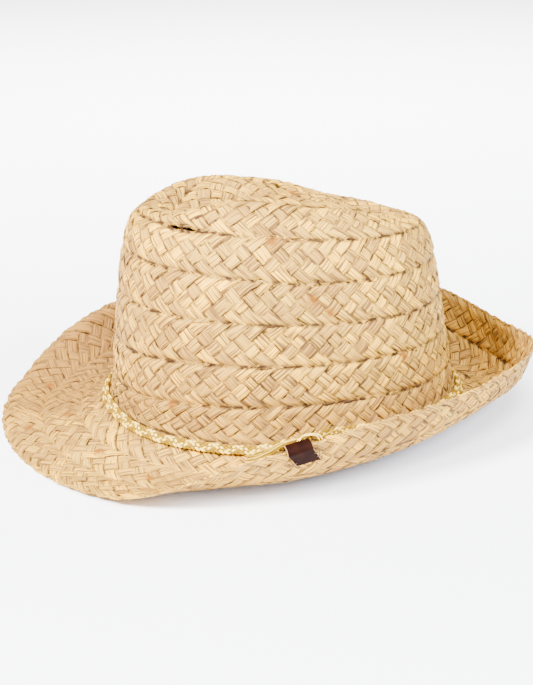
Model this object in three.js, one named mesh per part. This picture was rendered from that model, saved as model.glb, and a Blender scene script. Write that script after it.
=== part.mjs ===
// A hat of braided raffia straw: a dented crown and a curled brim, sewn row by row from one
// flat braid, with a thin braided cord tied round the foot of the crown and a leather tab
// folded over the edge of the brim.
// Millimetres, Z up. The front of the hat points to -Y and the wearer's left to +X.
import * as THREE from 'three';

// Straw wall
const WALL = 2.6;
const SEAM_GAP = 0.3;
const GROOVE_DEPTH = 0.9;

// Head opening, an oval measured on the middle of the straw
const HEAD_LENGTH = 208;
const HEAD_WIDTH = 176.6;
const OVAL_POWER = 2.1;
const FOOT_HEIGHT = 16.6;
const FOOT_SLOPE = -0.025;
const FOOT_FILLET = 9;

// Crown wall by direction: how far it leans in over its height, and how square its shoulder is
const CROWN_WALL = {
  front: { lean: 0.11, power: 9.4 },
  side: { lean: 0.274, power: 5.7 },
  back: { lean: 0.186, power: 12 },
};

// Height of the top over the foot, along the hat
const CROWN_TOP = [
  { y: -110, height: 132.3 },
  { y: -55, height: 130.9 },
  { y: 0, height: 125.1 },
  { y: 55, height: 110 },
  { y: 110, height: 107.4 },
];
const TOP_SIDE_SLOPE = 0.054;
const TIP_FOLD = 16;

// The dent pressed into the top, and the light pinch on each side of its front
const DENT = { depth: 31.5, front: -82, back: 52.4, centre: -3.4, wallPower: 2.6, endPower: 3 };
const DENT_SECTIONS = [
  { y: -75, half: 35 },
  { y: -15, half: 24.8 },
  { y: 45, half: 22 },
];
const DENT_START = { from: 0.5, over: 0.4 };
const PINCH = { depth: 2.5, angle: 34, spread: 17, height: 0.95, band: 0.28 };

// Brim by direction in degrees from the front: width along the straw and the slope at its ends
const BRIM_WIDTH = [
  { angle: 0, width: 66 },
  { angle: 60, width: 72.7 },
  { angle: 120, width: 58.5 },
  { angle: 180, width: 71.4 },
];
const BRIM_START = [
  { angle: 0, slope: -24.4 },
  { angle: 45, slope: -25.9 },
  { angle: 90, slope: -8.6 },
  { angle: 135, slope: 14 },
  { angle: 180, slope: -23.2 },
];
const BRIM_END = [
  { angle: 0, slope: -2.5 },
  { angle: 30, slope: 6.5 },
  { angle: 58, slope: 53.7 },
  { angle: 90, slope: 72.4 },
  { angle: 135, slope: 66.1 },
  { angle: 180, slope: 89.6 },
];
const CURL_FROM = [
  { angle: 0, share: 0.077 },
  { angle: 100, share: 0.101 },
  { angle: 180, share: 0.126 },
];
const CURL_TO = 0.872;
const REST_FLAT = 1.3;

// Rows of braid: where each seam of the crown wall runs, measured up the straw from the foot
const CROWN_SEAMS = [
  { front: 16, corner: 20.5, side: 22, back: 21 },
  { front: 39.5, corner: 43.5, side: 43.3, back: 42.5 },
  { front: 67.5, corner: 67, side: 65.3, back: 64 },
  { front: 94, corner: 91.5, side: 87.5, back: 87 },
  { front: 116, corner: 115, side: 111.4, back: 108.5 },
];
const SEAM_ANGLES = [0, 45, 90, 160];
const TOP_ROWS = 4;
const BRIM_ROWS = 3;
const OUTER_STEPS = [0, 0.12, 0.5, 0.88];
const INNER_STEPS = [0, 0.33, 0.67];

// Cord: its section, and how far up the straw from the foot it runs on its way from the knot,
// round the back, the wearer's right and the front, to the knot again
const CORD = { width: 5.8, thickness: 2, clearance: 1.2 };
const CORD_ROUTE = [
  { angle: 73, offset: 1.3 },
  { angle: 84, offset: 5 },
  { angle: 180, offset: 0 },
  { angle: 330, offset: 0.5 },
  { angle: 360, offset: -1.5 },
  { angle: 375, offset: -4.8 },
  { angle: 390, offset: -6.3 },
  { angle: 415, offset: -6.1 },
  { angle: 433, offset: 1.3 },
];

// The knot and the frayed ends: angle, place up the straw, height over it and radius
const KNOT = { angle: 73, length: 9, width: 7.5, height: 6, clearance: 0.9 };
const FRAYED_FRONT = [
  { angle: 69, offset: 0.5, height: 5.6, radius: 1.5 },
  { angle: 65.5, offset: -4, height: 5.8, radius: 1.4 },
  { angle: 61.5, offset: -9, height: 4.4, radius: 1.2 },
  { angle: 57.5, offset: -12, height: 2.2, radius: 1 },
  { angle: 53.5, offset: -13.5, height: 1.5, radius: 0.6 },
];
const FRAYED_BACK = [
  { angle: 77, offset: -7, height: 2.5, radius: 1.5 },
  { angle: 80, offset: -9.5, height: 2.2, radius: 1.3 },
  { angle: 83.5, offset: -12.5, height: 1.9, radius: 1 },
  { angle: 87, offset: -15, height: 1.5, radius: 0.6 },
];

// The leather tab; its inner end stands a little further round the hat than its fold
const TAB = {
  angle: 66.2, lean: 2.2, width: 14, length: 10.5, leather: 1.4, clearance: 0.9, stations: 5,
};

// The end face of the tab's folded profile as triangles, by the numbers of its corners
const TAB_END_FACE = [
  [0, 1, 9], [1, 8, 9], [1, 7, 8], [1, 2, 7], [2, 6, 7], [2, 5, 6], [2, 3, 5], [3, 4, 5],
];

// How finely the shapes are stepped
const ROUND_STEPS = 60;
const CORD_STEPS = 44;
const CORD_SIDES = 8;
const KNOT_STEPS = { round: 10, over: 7 };
const CROWN_FINE_STEPS = 160;
const BRIM_FINE_STEPS = 60;

const radians = (degrees) => degrees * Math.PI / 180;
const clamp = (value, low, high) => Math.min(high, Math.max(low, value));
const ease = (value) => {
  const share = clamp(value, 0, 1);
  return share * share * (3 - 2 * share);
};

// A smooth curve through a short table, level at both ends of the table
const through = (xs, ys) => {
  const steps = xs.slice(1).map((x, i) => (ys[i + 1] - ys[i]) / (x - xs[i]));
  const slopes = xs.map((_, i) => {
    const before = steps[i - 1] ?? 0;
    const after = steps[i] ?? 0;
    return before * after > 0 ? 2 * before * after / (before + after) : 0;
  });
  return (value) => {
    const x = clamp(value, xs[0], xs[xs.length - 1]);
    const i = Math.min(xs.findLastIndex((start) => start <= x), xs.length - 2);
    const span = xs[i + 1] - xs[i];
    const t = (x - xs[i]) / span;
    const rise = ease(t);
    const startPull = t * (1 - t) * (1 - t) * span * slopes[i];
    const endPull = t * t * (1 - t) * span * slopes[i + 1];
    return ys[i] + (ys[i + 1] - ys[i]) * rise + startPull - endPull;
  };
};

// Degrees turned from the front, the same on both sides of the hat
const fromFront = (theta) => Math.acos(clamp(Math.cos(theta), -1, 1)) * 180 / Math.PI;

const byAngle = (table, column) => {
  const curve = through(table.map((row) => row.angle), table.map((row) => row[column]));
  return (theta) => curve(fromFront(theta));
};

const alongHat = (table, column) =>
  through(table.map((row) => row.y), table.map((row) => row[column]));

const byDirection = (column) => (theta) => {
  const { front, side, back } = CROWN_WALL;
  const c = Math.cos(theta);
  const ends = (front[column] + back[column]) / 2;
  return side[column] + (front[column] - back[column]) / 2 * c + (ends - side[column]) * c * c;
};

const brimWidth = byAngle(BRIM_WIDTH, 'width');
const brimStart = byAngle(BRIM_START, 'slope');
const brimEnd = byAngle(BRIM_END, 'slope');
const curlFrom = byAngle(CURL_FROM, 'share');
const topHeight = alongHat(CROWN_TOP, 'height');
const dentHalf = alongHat(DENT_SECTIONS, 'half');
const cordCurve = through(CORD_ROUTE.map((row) => row.angle), CORD_ROUTE.map((row) => row.offset));
const cordOffset = (theta) => cordCurve(theta * 180 / Math.PI);
const wallLean = byDirection('lean');
const wallPower = byDirection('power');

// The oval of the head opening, in plan
const oval = (theta) => {
  const alongY = Math.abs(Math.cos(theta) / (HEAD_LENGTH / 2)) ** OVAL_POWER;
  const alongX = Math.abs(Math.sin(theta) / (HEAD_WIDTH / 2)) ** OVAL_POWER;
  const radius = (alongY + alongX) ** (-1 / OVAL_POWER);
  return new THREE.Vector2(radius * Math.sin(theta), -radius * Math.cos(theta));
};

const ovalNormal = (theta) => {
  const step = 1e-4;
  const tangent = oval(theta + step).sub(oval(theta - step));
  return new THREE.Vector2(tangent.y, -tangent.x).normalize();
};

const lift = (x, y, z) => new THREE.Vector3(x, y, z + FOOT_HEIGHT + FOOT_SLOPE * y);

// How deep the top is pressed in at a place in plan
const dentDepth = (x, y) => {
  const middle = (DENT.front + DENT.back) / 2;
  const reach = (DENT.back - DENT.front) / 2;
  const along = Math.abs((y - middle) / reach) ** DENT.endPower;
  const across = Math.abs((x - DENT.centre) / dentHalf(y)) ** DENT.wallPower;
  return DENT.depth * Math.exp(-along - across);
};

// One point of the crown's middle surface: share 0 is the foot of the wall, share 1 the tip
const crownPoint = (theta, share) => {
  const phi = Math.PI / 4 * (1 - Math.cos(Math.PI * share));
  const exponent = 2 / wallPower(theta);
  const rise = Math.sin(phi) ** exponent;
  const reach = Math.max(Math.cos(phi), 0) ** exponent;
  const foot = oval(theta);
  const fold = new THREE.Vector2(0, -TIP_FOLD / 2 * Math.cos(theta));
  const plan = foot.sub(fold).multiplyScalar(reach * (1 - wallLean(theta) * rise)).add(fold);
  const height = topHeight(plan.y) + TOP_SIDE_SLOPE * plan.x;
  const pressed = dentDepth(plan.x, plan.y) * ease((rise - DENT_START.from) / DENT_START.over);
  const beside = Math.exp(-(((fromFront(theta) - PINCH.angle) / PINCH.spread) ** 2));
  const level = Math.exp(-(((rise - PINCH.height) / PINCH.band) ** 2));
  const pinch = PINCH.depth * beside * level * Math.sqrt(reach);
  return lift(plan.x - Math.sin(theta) * pinch, plan.y + Math.cos(theta) * pinch,
    height * rise - pressed);
};

// A line of points with its running length, read by length
const measured = (points) => {
  const lengths = [0];
  for (let i = 1; i < points.length; i++) {
    lengths.push(lengths[i - 1] + points[i].distanceTo(points[i - 1]));
  }
  const total = lengths[lengths.length - 1];
  const at = (length) => {
    const wanted = clamp(length, 0, total);
    const i = clamp(lengths.findLastIndex((start) => start <= wanted), 0, points.length - 2);
    const share = (wanted - lengths[i]) / (lengths[i + 1] - lengths[i]);
    return points[i].clone().lerp(points[i + 1], share);
  };
  return { at, total };
};

const crownLine = (theta) => {
  const points = [];
  for (let i = 0; i <= CROWN_FINE_STEPS; i++) {
    points.push(crownPoint(theta, i / CROWN_FINE_STEPS));
  }
  return measured(points);
};

const brimLine = (theta) => {
  const foot = oval(theta);
  const outward = ovalNormal(theta);
  const step = brimWidth(theta) / BRIM_FINE_STEPS;
  const points = [lift(foot.x, foot.y, 0)];
  let reach = 0;
  let rise = 0;
  for (let i = 0; i < BRIM_FINE_STEPS; i++) {
    const share = (i + 0.5) / BRIM_FINE_STEPS;
    const curl = ease((share - curlFrom(theta)) / (CURL_TO - curlFrom(theta)));
    const slope = radians(brimStart(theta) + (brimEnd(theta) - brimStart(theta)) * curl);
    reach += Math.cos(slope) * step;
    rise += Math.sin(slope) * step;
    points.push(lift(foot.x + outward.x * reach, foot.y + outward.y * reach, rise));
  }
  return measured(points);
};

// One section of the hat: length 0 is the foot, the crown is above it and the brim below it
const section = (theta) => {
  const crown = crownLine(theta);
  const brim = brimLine(theta);
  const corner = crown.at(0);
  const above = crown.at(FOOT_FILLET);
  const below = brim.at(FOOT_FILLET);
  const at = (length) => {
    if (length >= FOOT_FILLET) return crown.at(length);
    if (length <= -FOOT_FILLET) return brim.at(-length);
    const t = (length + FOOT_FILLET) / (2 * FOOT_FILLET);
    return below.clone().multiplyScalar((1 - t) * (1 - t))
      .addScaledVector(corner, 2 * t * (1 - t)).addScaledVector(above, t * t);
  };
  return { at, crownLength: crown.total, brimLength: brim.total };
};

const sections = new Map();
const sectionAt = (theta) => {
  const key = theta.toFixed(6);
  if (!sections.has(key)) sections.set(key, section(theta));
  return sections.get(key);
};

// A point on the hat with the straw's outward normal and its upward direction
const surface = (theta, length) => {
  const turn = 0.02;
  const step = 0.6;
  const here = sectionAt(theta);
  const top = here.crownLength;
  const point = here.at(length);
  const above = here.at(Math.min(length + step, top));
  const up = above.sub(here.at(Math.max(length - step, -here.brimLength)));
  const ahead = sectionAt(theta + turn);
  const behind = sectionAt(theta - turn);
  const share = length > 0 ? length / top : length / here.brimLength;
  const matched = (line) => line.at(share * (length > 0 ? line.crownLength : line.brimLength));
  const along = matched(ahead).sub(matched(behind));
  const normal = along.clone().cross(up).normalize();
  return { point, normal, up: up.normalize(), along: along.normalize() };
};

// The length up the straw at which a seam runs, counted in rows from the foot
const seamCurves = CROWN_SEAMS.map((seam) => {
  const curve = through(SEAM_ANGLES, [seam.front, seam.corner, seam.side, seam.back]);
  return (theta) => curve(fromFront(theta));
});
const WALL_ROWS = CROWN_SEAMS.length;
const CROWN_ROWS = WALL_ROWS + TOP_ROWS;

const rowLength = (theta, row) => {
  if (row <= 0) return row / BRIM_ROWS * brimWidth(theta);
  const seamLength = (index) => {
    if (index === 0) return 0;
    if (index <= WALL_ROWS) return seamCurves[index - 1](theta);
    const last = seamCurves[WALL_ROWS - 1](theta);
    const rest = sectionAt(theta).crownLength - last;
    return last + rest * (index - WALL_ROWS) / TOP_ROWS;
  };
  const index = Math.min(Math.floor(row), CROWN_ROWS - 1);
  const low = seamLength(index);
  return low + (seamLength(index + 1) - low) * (row - index);
};

const ringAngles = Array.from({ length: ROUND_STEPS }, (_, i) => 2 * Math.PI * i / ROUND_STEPS);

// A closed ring of points round the hat at one row, moved off the middle surface
const ring = (row, offset, shift = 0) => ringAngles.map((theta) => {
  const { point, normal } = surface(theta, rowLength(theta, row) + shift);
  return point.addScaledVector(normal, offset);
});

// A closed body from rings: capped with a centre point at both ends, or joined end to end
const bodyFromRings = (rings, capped) => {
  const count = rings[0].length;
  const points = rings.flat();
  const triangles = [];
  const joins = capped ? rings.length - 1 : rings.length;
  for (let r = 0; r < joins; r++) {
    const next = (r + 1) % rings.length;
    for (let i = 0; i < count; i++) {
      const j = (i + 1) % count;
      const [a, b] = [r * count + i, r * count + j];
      const [c, d] = [next * count + i, next * count + j];
      triangles.push(a, b, d, a, d, c);
    }
  }
  if (capped) {
    const centreOf = (line) => line.reduce((sum, p) => sum.add(p), new THREE.Vector3())
      .divideScalar(count);
    const last = (rings.length - 1) * count;
    points.push(centreOf(rings[0]), centreOf(rings[rings.length - 1]));
    for (let i = 0; i < count; i++) {
      const j = (i + 1) % count;
      triangles.push(points.length - 2, j, i);
      triangles.push(points.length - 1, last + i, last + j);
    }
  }
  return closedBody(points, triangles);
};

const closedBody = (points, triangles) => {
  const geometry = new THREE.BufferGeometry();
  geometry.setAttribute('position',
    new THREE.Float32BufferAttribute(points.flatMap((p) => p.toArray()), 3));
  geometry.setIndex(facingOut(points, triangles));
  geometry.computeVertexNormals();
  return geometry;
};

const facingOut = (points, triangles) => {
  let volume = 0;
  for (let i = 0; i < triangles.length; i += 3) {
    const [a, b, c] = [0, 1, 2].map((k) => points[triangles[i + k]]);
    volume += a.dot(b.clone().cross(c));
  }
  if (volume > 0) return triangles;
  const turned = [];
  for (let i = 0; i < triangles.length; i += 3) {
    turned.push(triangles[i], triangles[i + 2], triangles[i + 1]);
  }
  return turned;
};

// Depth of the seam groove at a fraction of a row
const grooved = (step) => (step === 0 ? WALL / 2 - GROOVE_DEPTH : WALL / 2);

// The outer and inner rings of the crown over some of its rows, from the lowest up
const crownRings = (firstRow, endRow) => {
  const outer = [];
  const inner = [];
  for (let row = firstRow; row < endRow; row++) {
    for (const step of OUTER_STEPS) {
      const depth = row === 0 && step === 0 ? WALL / 2 : grooved(step);
      outer.push(ring(row + step, depth, row + step === firstRow ? SEAM_GAP / 2 : 0));
    }
    for (const step of INNER_STEPS) {
      inner.push(ring(row + step, -WALL / 2, row + step === firstRow ? SEAM_GAP / 2 : 0));
    }
  }
  return { outer, inner };
};

// The side of the crown, from its foot to the seam on its shoulder
const crownSideGeometry = () => {
  const { outer, inner } = crownRings(0, WALL_ROWS);
  outer.push(ring(WALL_ROWS, grooved(0), -SEAM_GAP / 2));
  inner.push(ring(WALL_ROWS, -WALL / 2, -SEAM_GAP / 2));
  return bodyFromRings([...inner.reverse(), ...outer], false);
};

// The dented top of the crown, from the seam on its shoulder to the tip
const crownTopGeometry = () => {
  const { outer, inner } = crownRings(WALL_ROWS, CROWN_ROWS);
  return bodyFromRings([...inner.reverse(), ...outer], true);
};

const brimGeometry = () => {
  const top = [];
  const under = [];
  for (let row = 0; row > -BRIM_ROWS; row--) {
    for (const step of OUTER_STEPS) {
      const start = row === 0 && step === 0;
      const depth = start ? WALL / 2 : grooved(step);
      top.push(ring(row - step, depth, start ? -SEAM_GAP / 2 : 0));
      under.push(ring(row - step, -depth, start ? -SEAM_GAP / 2 : 0));
    }
  }
  top.push(ring(-BRIM_ROWS, WALL / 2));
  under.push(ring(-BRIM_ROWS, -WALL / 2));
  return bodyFromRings([...top, ...under.reverse()], false);
};

// One section of a cord, an oval of straight sides across the way it runs
const cordSection = (centre, across, halfAcross, outward, halfOutward) =>
  Array.from({ length: CORD_SIDES }, (_, side) => {
    const turn = 2 * Math.PI * (side + 0.5) / CORD_SIDES;
    return centre.clone().addScaledVector(across, halfAcross * Math.cos(turn))
      .addScaledVector(outward, halfOutward * Math.sin(turn));
  });

// The cord lies round the foot of the crown; its two ends meet at the knot
const cordGeometry = () => {
  const height = WALL / 2 + CORD.clearance + CORD.thickness / 2;
  const knot = radians(KNOT.angle);
  const half = (KNOT.length / 2 + SEAM_GAP) / oval(knot).length();
  const rings = [];
  for (let i = 0; i <= CORD_STEPS; i++) {
    const theta = knot + half + (2 * Math.PI - 2 * half) * i / CORD_STEPS;
    const { point, normal, up } = surface(theta, cordOffset(theta));
    const centre = point.addScaledVector(normal, height);
    rings.push(cordSection(centre, up, CORD.width / 2, normal, CORD.thickness / 2));
  }
  return bodyFromRings(rings, true);
};

const knotGeometry = () => {
  const angle = radians(KNOT.angle);
  const { point, normal, up, along } = surface(angle, cordOffset(angle));
  const geometry = new THREE.SphereGeometry(1, KNOT_STEPS.round, KNOT_STEPS.over);
  geometry.scale(KNOT.length / 2, KNOT.width / 2, KNOT.height / 2);
  geometry.applyMatrix4(new THREE.Matrix4().makeBasis(along, up, normal));
  const centre = point.addScaledVector(normal, WALL / 2 + KNOT.clearance + KNOT.height / 2);
  geometry.translate(centre.x, centre.y, centre.z);
  return geometry;
};

const frayedGeometry = (stations) => {
  const rings = stations.map(({ angle, offset, height, radius }) => {
    const { point, normal, up } = surface(radians(angle), offset);
    const centre = point.addScaledVector(normal, WALL / 2 + height);
    return cordSection(centre, up, radius, normal, radius);
  });
  return bodyFromRings(rings, true);
};

// The leather tab: a strip folded over the brim's edge, worked out at stations along the edge
const tabGeometry = () => {
  const inside = WALL / 2 + TAB.clearance;
  const outside = inside + TAB.leather;
  const bend = TAB.clearance + TAB.leather;
  const profile = [
    [TAB.length, -inside], [-TAB.clearance, -inside], [-TAB.clearance, inside],
    [TAB.length, inside], [TAB.length, outside], [0, outside], [-bend, inside],
    [-bend, -inside], [0, -outside], [TAB.length, -outside],
  ];
  const middle = radians(TAB.angle);
  const radius = surface(middle, -brimWidth(middle)).point.clone().setZ(0).length();
  const rings = [];
  for (let i = 0; i < TAB.stations; i++) {
    const across = middle + TAB.width / radius * (i / (TAB.stations - 1) - 0.5);
    rings.push(profile.map(([inward, off]) => {
      const theta = across + radians(TAB.lean) * Math.max(inward, 0) / TAB.length;
      const { point, normal, up } = surface(theta, Math.max(inward, 0) - brimWidth(theta));
      return point.addScaledVector(normal, off).addScaledVector(up, Math.min(inward, 0));
    }));
  }
  return stripBody(rings);
};

const stripBody = (rings) => {
  const count = rings[0].length;
  const points = rings.flat();
  const triangles = [];
  for (let r = 0; r < rings.length - 1; r++) {
    for (let i = 0; i < count; i++) {
      const j = (i + 1) % count;
      const [a, b] = [r * count + i, r * count + j];
      triangles.push(a, b, b + count, a, b + count, a + count);
    }
  }
  const last = (rings.length - 1) * count;
  for (const [a, b, c] of TAB_END_FACE) {
    triangles.push(a, c, b, last + a, last + b, last + c);
  }
  return closedBody(points, triangles);
};

const finish = (color, roughness) =>
  new THREE.MeshStandardMaterial({ color, roughness, metalness: 0 });
const straw = (color) => finish(color, 0.75);
const cotton = () => finish(0xe6d27e, 0.85);
const leather = () => finish(0x4a211b, 0.55);

const pieces = [
  { name: 'crown_side', geometry: crownSideGeometry(), material: straw(0xe3c79a) },
  { name: 'crown_top', geometry: crownTopGeometry(), material: straw(0xe3c79a) },
  { name: 'brim', geometry: brimGeometry(), material: straw(0xe8cfa6) },
  { name: 'hat_cord', geometry: cordGeometry(), material: cotton() },
  { name: 'cord_knot', geometry: knotGeometry(), material: cotton() },
  { name: 'frayed_end_front', geometry: frayedGeometry(FRAYED_FRONT), material: cotton() },
  { name: 'frayed_end_back', geometry: frayedGeometry(FRAYED_BACK), material: cotton() },
  { name: 'leather_tab', geometry: tabGeometry(), material: leather() },
];

// The hat stands on z = 0 with its box centred over the origin, and the straw is flat where
// it rests
const bounds = new THREE.Box3();
for (const { geometry } of pieces) {
  geometry.computeBoundingBox();
  bounds.union(geometry.boundingBox);
}
const centre = bounds.getCenter(new THREE.Vector3());
const restHeight = bounds.min.z + REST_FLAT;
for (const { geometry } of pieces) {
  geometry.translate(-centre.x, -centre.y, -restHeight);
  const position = geometry.getAttribute('position');
  for (let i = 0; i < position.count; i++) position.setZ(i, Math.max(position.getZ(i), 0));
}

const hat = new THREE.Group();
hat.name = 'straw_hat';
for (const { name, geometry, material } of pieces) {
  const mesh = new THREE.Mesh(geometry, material);
  mesh.name = name;
  hat.add(mesh);
}

export default hat;
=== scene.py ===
# %% [markdown]
# # A straw hat of sewn raffia braid
# The hat is one long flat braid, sewn edge to edge in a spiral from the tip of the crown to the
# edge of the brim. A thin cotton cord is tied round the foot of the crown, and a leather tab is
# folded over the edge of the brim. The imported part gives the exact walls, and this lesson weaves
# the braid, the cord and the tab over them. It goes in the order of the work: the wall as a
# function, the camera and the light, one leg of straw, the braid, the cord with its knot, the tab,
# the loose fibres and last the colours.

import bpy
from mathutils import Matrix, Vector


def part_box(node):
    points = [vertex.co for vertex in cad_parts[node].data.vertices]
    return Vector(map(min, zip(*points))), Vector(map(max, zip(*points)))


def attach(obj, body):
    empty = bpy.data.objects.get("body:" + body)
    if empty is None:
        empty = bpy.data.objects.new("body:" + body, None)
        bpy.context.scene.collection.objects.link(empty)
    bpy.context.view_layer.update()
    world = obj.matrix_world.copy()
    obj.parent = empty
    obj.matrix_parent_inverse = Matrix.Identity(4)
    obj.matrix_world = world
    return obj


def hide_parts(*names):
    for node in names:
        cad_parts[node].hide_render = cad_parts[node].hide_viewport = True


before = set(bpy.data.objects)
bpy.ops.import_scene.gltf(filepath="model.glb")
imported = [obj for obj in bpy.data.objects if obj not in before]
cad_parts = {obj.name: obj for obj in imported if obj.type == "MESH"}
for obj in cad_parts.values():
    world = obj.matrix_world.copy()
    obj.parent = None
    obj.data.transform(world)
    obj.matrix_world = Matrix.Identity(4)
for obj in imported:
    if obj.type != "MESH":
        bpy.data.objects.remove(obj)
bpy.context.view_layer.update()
print("packed nodes:", sorted(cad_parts))

# %% Tools used below
import math

import bpy
import numpy as np
from mathutils import Vector

MM = 0.001
SEED = 7
random = np.random.default_rng(SEED)

# %% [markdown]
# ## The shape of the hat
# Every straw has to lie on the curved wall of the hat, so the wall is needed as a function: a
# place round the hat (an angle from the front, towards the wearer's left) and a place up the straw
# give a point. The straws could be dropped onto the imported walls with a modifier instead, but a
# function also says how long the straw is there, which way is outward, and where each seam runs.
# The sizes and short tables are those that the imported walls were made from, in millimetres and
# degrees.

# %% Sizes of the wall
WALL = 2.6
HEAD_LENGTH, HEAD_WIDTH, OVAL_POWER = 208.0, 176.6, 2.1
FOOT_HEIGHT, FOOT_SLOPE, FOOT_FILLET = 16.6, -0.025, 9.0
WALL_LEAN = {"front": 0.11, "side": 0.274, "back": 0.186}
WALL_POWER = {"front": 9.4, "side": 5.7, "back": 12.0}
CROWN_TOP = {-110: 132.3, -55: 130.9, 0: 125.1, 55: 110.0, 110: 107.4}
TOP_SIDE_SLOPE, TIP_FOLD = 0.054, 16.0
DENT_DEPTH, DENT_FRONT, DENT_BACK, DENT_CENTRE = 31.5, -82.0, 52.4, -3.4
DENT_WALL_POWER, DENT_END_POWER = 2.6, 3.0
DENT_HALF = {-75: 35.0, -15: 24.8, 45: 22.0}
DENT_START, DENT_OVER = 0.5, 0.4
PINCH_DEPTH, PINCH_ANGLE, PINCH_SPREAD, PINCH_HEIGHT, PINCH_BAND = 2.5, 34.0, 17.0, 0.95, 0.28
BRIM_WIDTH = {0: 66.0, 60: 72.7, 120: 58.5, 180: 71.4}
BRIM_START = {0: -24.4, 45: -25.9, 90: -8.6, 135: 14.0, 180: -23.2}
BRIM_END = {0: -2.5, 30: 6.5, 58: 53.7, 90: 72.4, 135: 66.1, 180: 89.6}
CURL_FROM, CURL_TO = {0: 0.077, 100: 0.101, 180: 0.126}, 0.872
SEAM_ANGLES = (0, 45, 90, 160)
CROWN_SEAMS = (
    # mm up the straw from the foot, at each of these angles
    (16.0, 20.5, 22.0, 21.0),
    (39.5, 43.5, 43.3, 42.5),
    (67.5, 67.0, 65.3, 64.0),
    (94.0, 91.5, 87.5, 87.0),
    (116.0, 115.0, 111.4, 108.5),
)
TOP_ROWS, BRIM_ROWS = 4, 3
CROWN_ROWS = len(CROWN_SEAMS) + TOP_ROWS


# %% Curves through short tables
def ease(share):
    """Rises smoothly from 0 to 1, and is level at both ends."""
    share = np.clip(share, 0, 1)
    return share * share * (3 - 2 * share)


def through(table, value):
    """A smooth curve through a short table, level at both ends of it."""
    xs, ys = np.array(list(table)), np.array(list(table.values()), float)
    steps = np.diff(ys) / np.diff(xs)
    before, after = steps[:-1], steps[1:]
    same_way = before * after > 0
    slopes = np.zeros(len(xs))
    slopes[1:-1][same_way] = (2 * before * after)[same_way] / (before + after)[same_way]
    x = np.clip(value, xs[0], xs[-1])
    i = np.clip(np.searchsorted(xs, x, side="right") - 1, 0, len(xs) - 2)
    span = xs[i + 1] - xs[i]
    t = (x - xs[i]) / span
    pulls = t * (1 - t) ** 2 * slopes[i] - t * t * (1 - t) * slopes[i + 1]
    return ys[i] + (ys[i + 1] - ys[i]) * ease(t) + span * pulls


def from_front(theta):
    """Degrees turned from the front, the same on both sides of the hat."""
    return np.degrees(np.arccos(np.clip(np.cos(theta), -1, 1)))


def by_direction(ends, theta):
    """Blends the values for the front, the side and the back round the hat."""
    c = np.cos(theta)
    middle = (ends["front"] + ends["back"]) / 2
    return ends["side"] + (ends["front"] - ends["back"]) / 2 * c + (middle - ends["side"]) * c * c


# %% The lines of the wall, from the foot to the tip and from the foot to the brim's edge
CROWN_STEPS, BRIM_STEPS, BEYOND_EDGE = 160, 60, 4


def oval(theta):
    """The head opening, seen from above."""
    reach_y = np.abs(np.cos(theta) / (HEAD_LENGTH / 2)) ** OVAL_POWER
    reach_x = np.abs(np.sin(theta) / (HEAD_WIDTH / 2)) ** OVAL_POWER
    radius = (reach_y + reach_x) ** (-1 / OVAL_POWER)
    return np.stack([radius * np.sin(theta), -radius * np.cos(theta)], -1)


def lifted(plan, height):
    """Places seen from above, lifted over the foot, which slopes a little from front to back."""
    z = height + FOOT_HEIGHT + FOOT_SLOPE * plan[..., 1]
    return np.concatenate([plan, z[..., None]], -1)


def dent_depth(x, y):
    """How deep the top is pressed in."""
    middle, reach = (DENT_FRONT + DENT_BACK) / 2, (DENT_BACK - DENT_FRONT) / 2
    along = np.abs((y - middle) / reach) ** DENT_END_POWER
    across = np.abs((x - DENT_CENTRE) / through(DENT_HALF, y)) ** DENT_WALL_POWER
    return DENT_DEPTH * np.exp(-along - across)


def crown_lines(theta):
    """A line up the crown for each angle, from the foot to the tip. Seen from the side it is a
    squared-off quarter of a circle, with the dent and the two pinches pressed into it."""
    share = np.linspace(0, 1, CROWN_STEPS + 1)[None]
    theta = theta[:, None]
    phi = np.pi / 4 * (1 - np.cos(np.pi * share))
    exponent = 2 / by_direction(WALL_POWER, theta)
    rise = np.sin(phi) ** exponent
    reach = np.maximum(np.cos(phi), 0) ** exponent
    fold = np.stack([0 * theta, -TIP_FOLD / 2 * np.cos(theta)], -1)
    inward = (reach * (1 - by_direction(WALL_LEAN, theta) * rise))[..., None]
    plan = (oval(theta) - fold) * inward + fold
    x, y = plan[..., 0], plan[..., 1]
    pressed = dent_depth(x, y) * ease((rise - DENT_START) / DENT_OVER)
    beside = np.exp(-(((from_front(theta) - PINCH_ANGLE) / PINCH_SPREAD) ** 2))
    level = np.exp(-(((rise - PINCH_HEIGHT) / PINCH_BAND) ** 2))
    pinch = PINCH_DEPTH * beside * level * np.sqrt(reach)
    height = (through(CROWN_TOP, y) + TOP_SIDE_SLOPE * x) * rise - pressed
    pinched = np.stack([x - np.sin(theta) * pinch, y + np.cos(theta) * pinch], -1)
    return lifted(pinched, height)


def brim_lines(theta):
    """A line out along the brim for each angle, from its start slope to its end slope."""
    tiny = 1e-4
    tangent = oval(theta + tiny) - oval(theta - tiny)
    outward = np.stack([tangent[..., 1], -tangent[..., 0]], -1)
    outward /= np.linalg.norm(outward, axis=-1, keepdims=True)
    step = through(BRIM_WIDTH, from_front(theta))[:, None] / BRIM_STEPS
    share = ((np.arange(BRIM_STEPS + BEYOND_EDGE) + 0.5) / BRIM_STEPS)[None]
    start = through(BRIM_START, from_front(theta))[:, None]
    end = through(BRIM_END, from_front(theta))[:, None]
    curl_from = through(CURL_FROM, from_front(theta))[:, None]
    slope = np.radians(start + (end - start) * ease((share - curl_from) / (CURL_TO - curl_from)))
    foot = np.zeros((len(theta), 1))
    reach = np.concatenate([foot, np.cumsum(np.cos(slope) * step, 1)], 1)
    rise = np.concatenate([foot, np.cumsum(np.sin(slope) * step, 1)], 1)
    return lifted(oval(theta)[:, None] + outward[:, None] * reach[..., None], rise)


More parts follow.
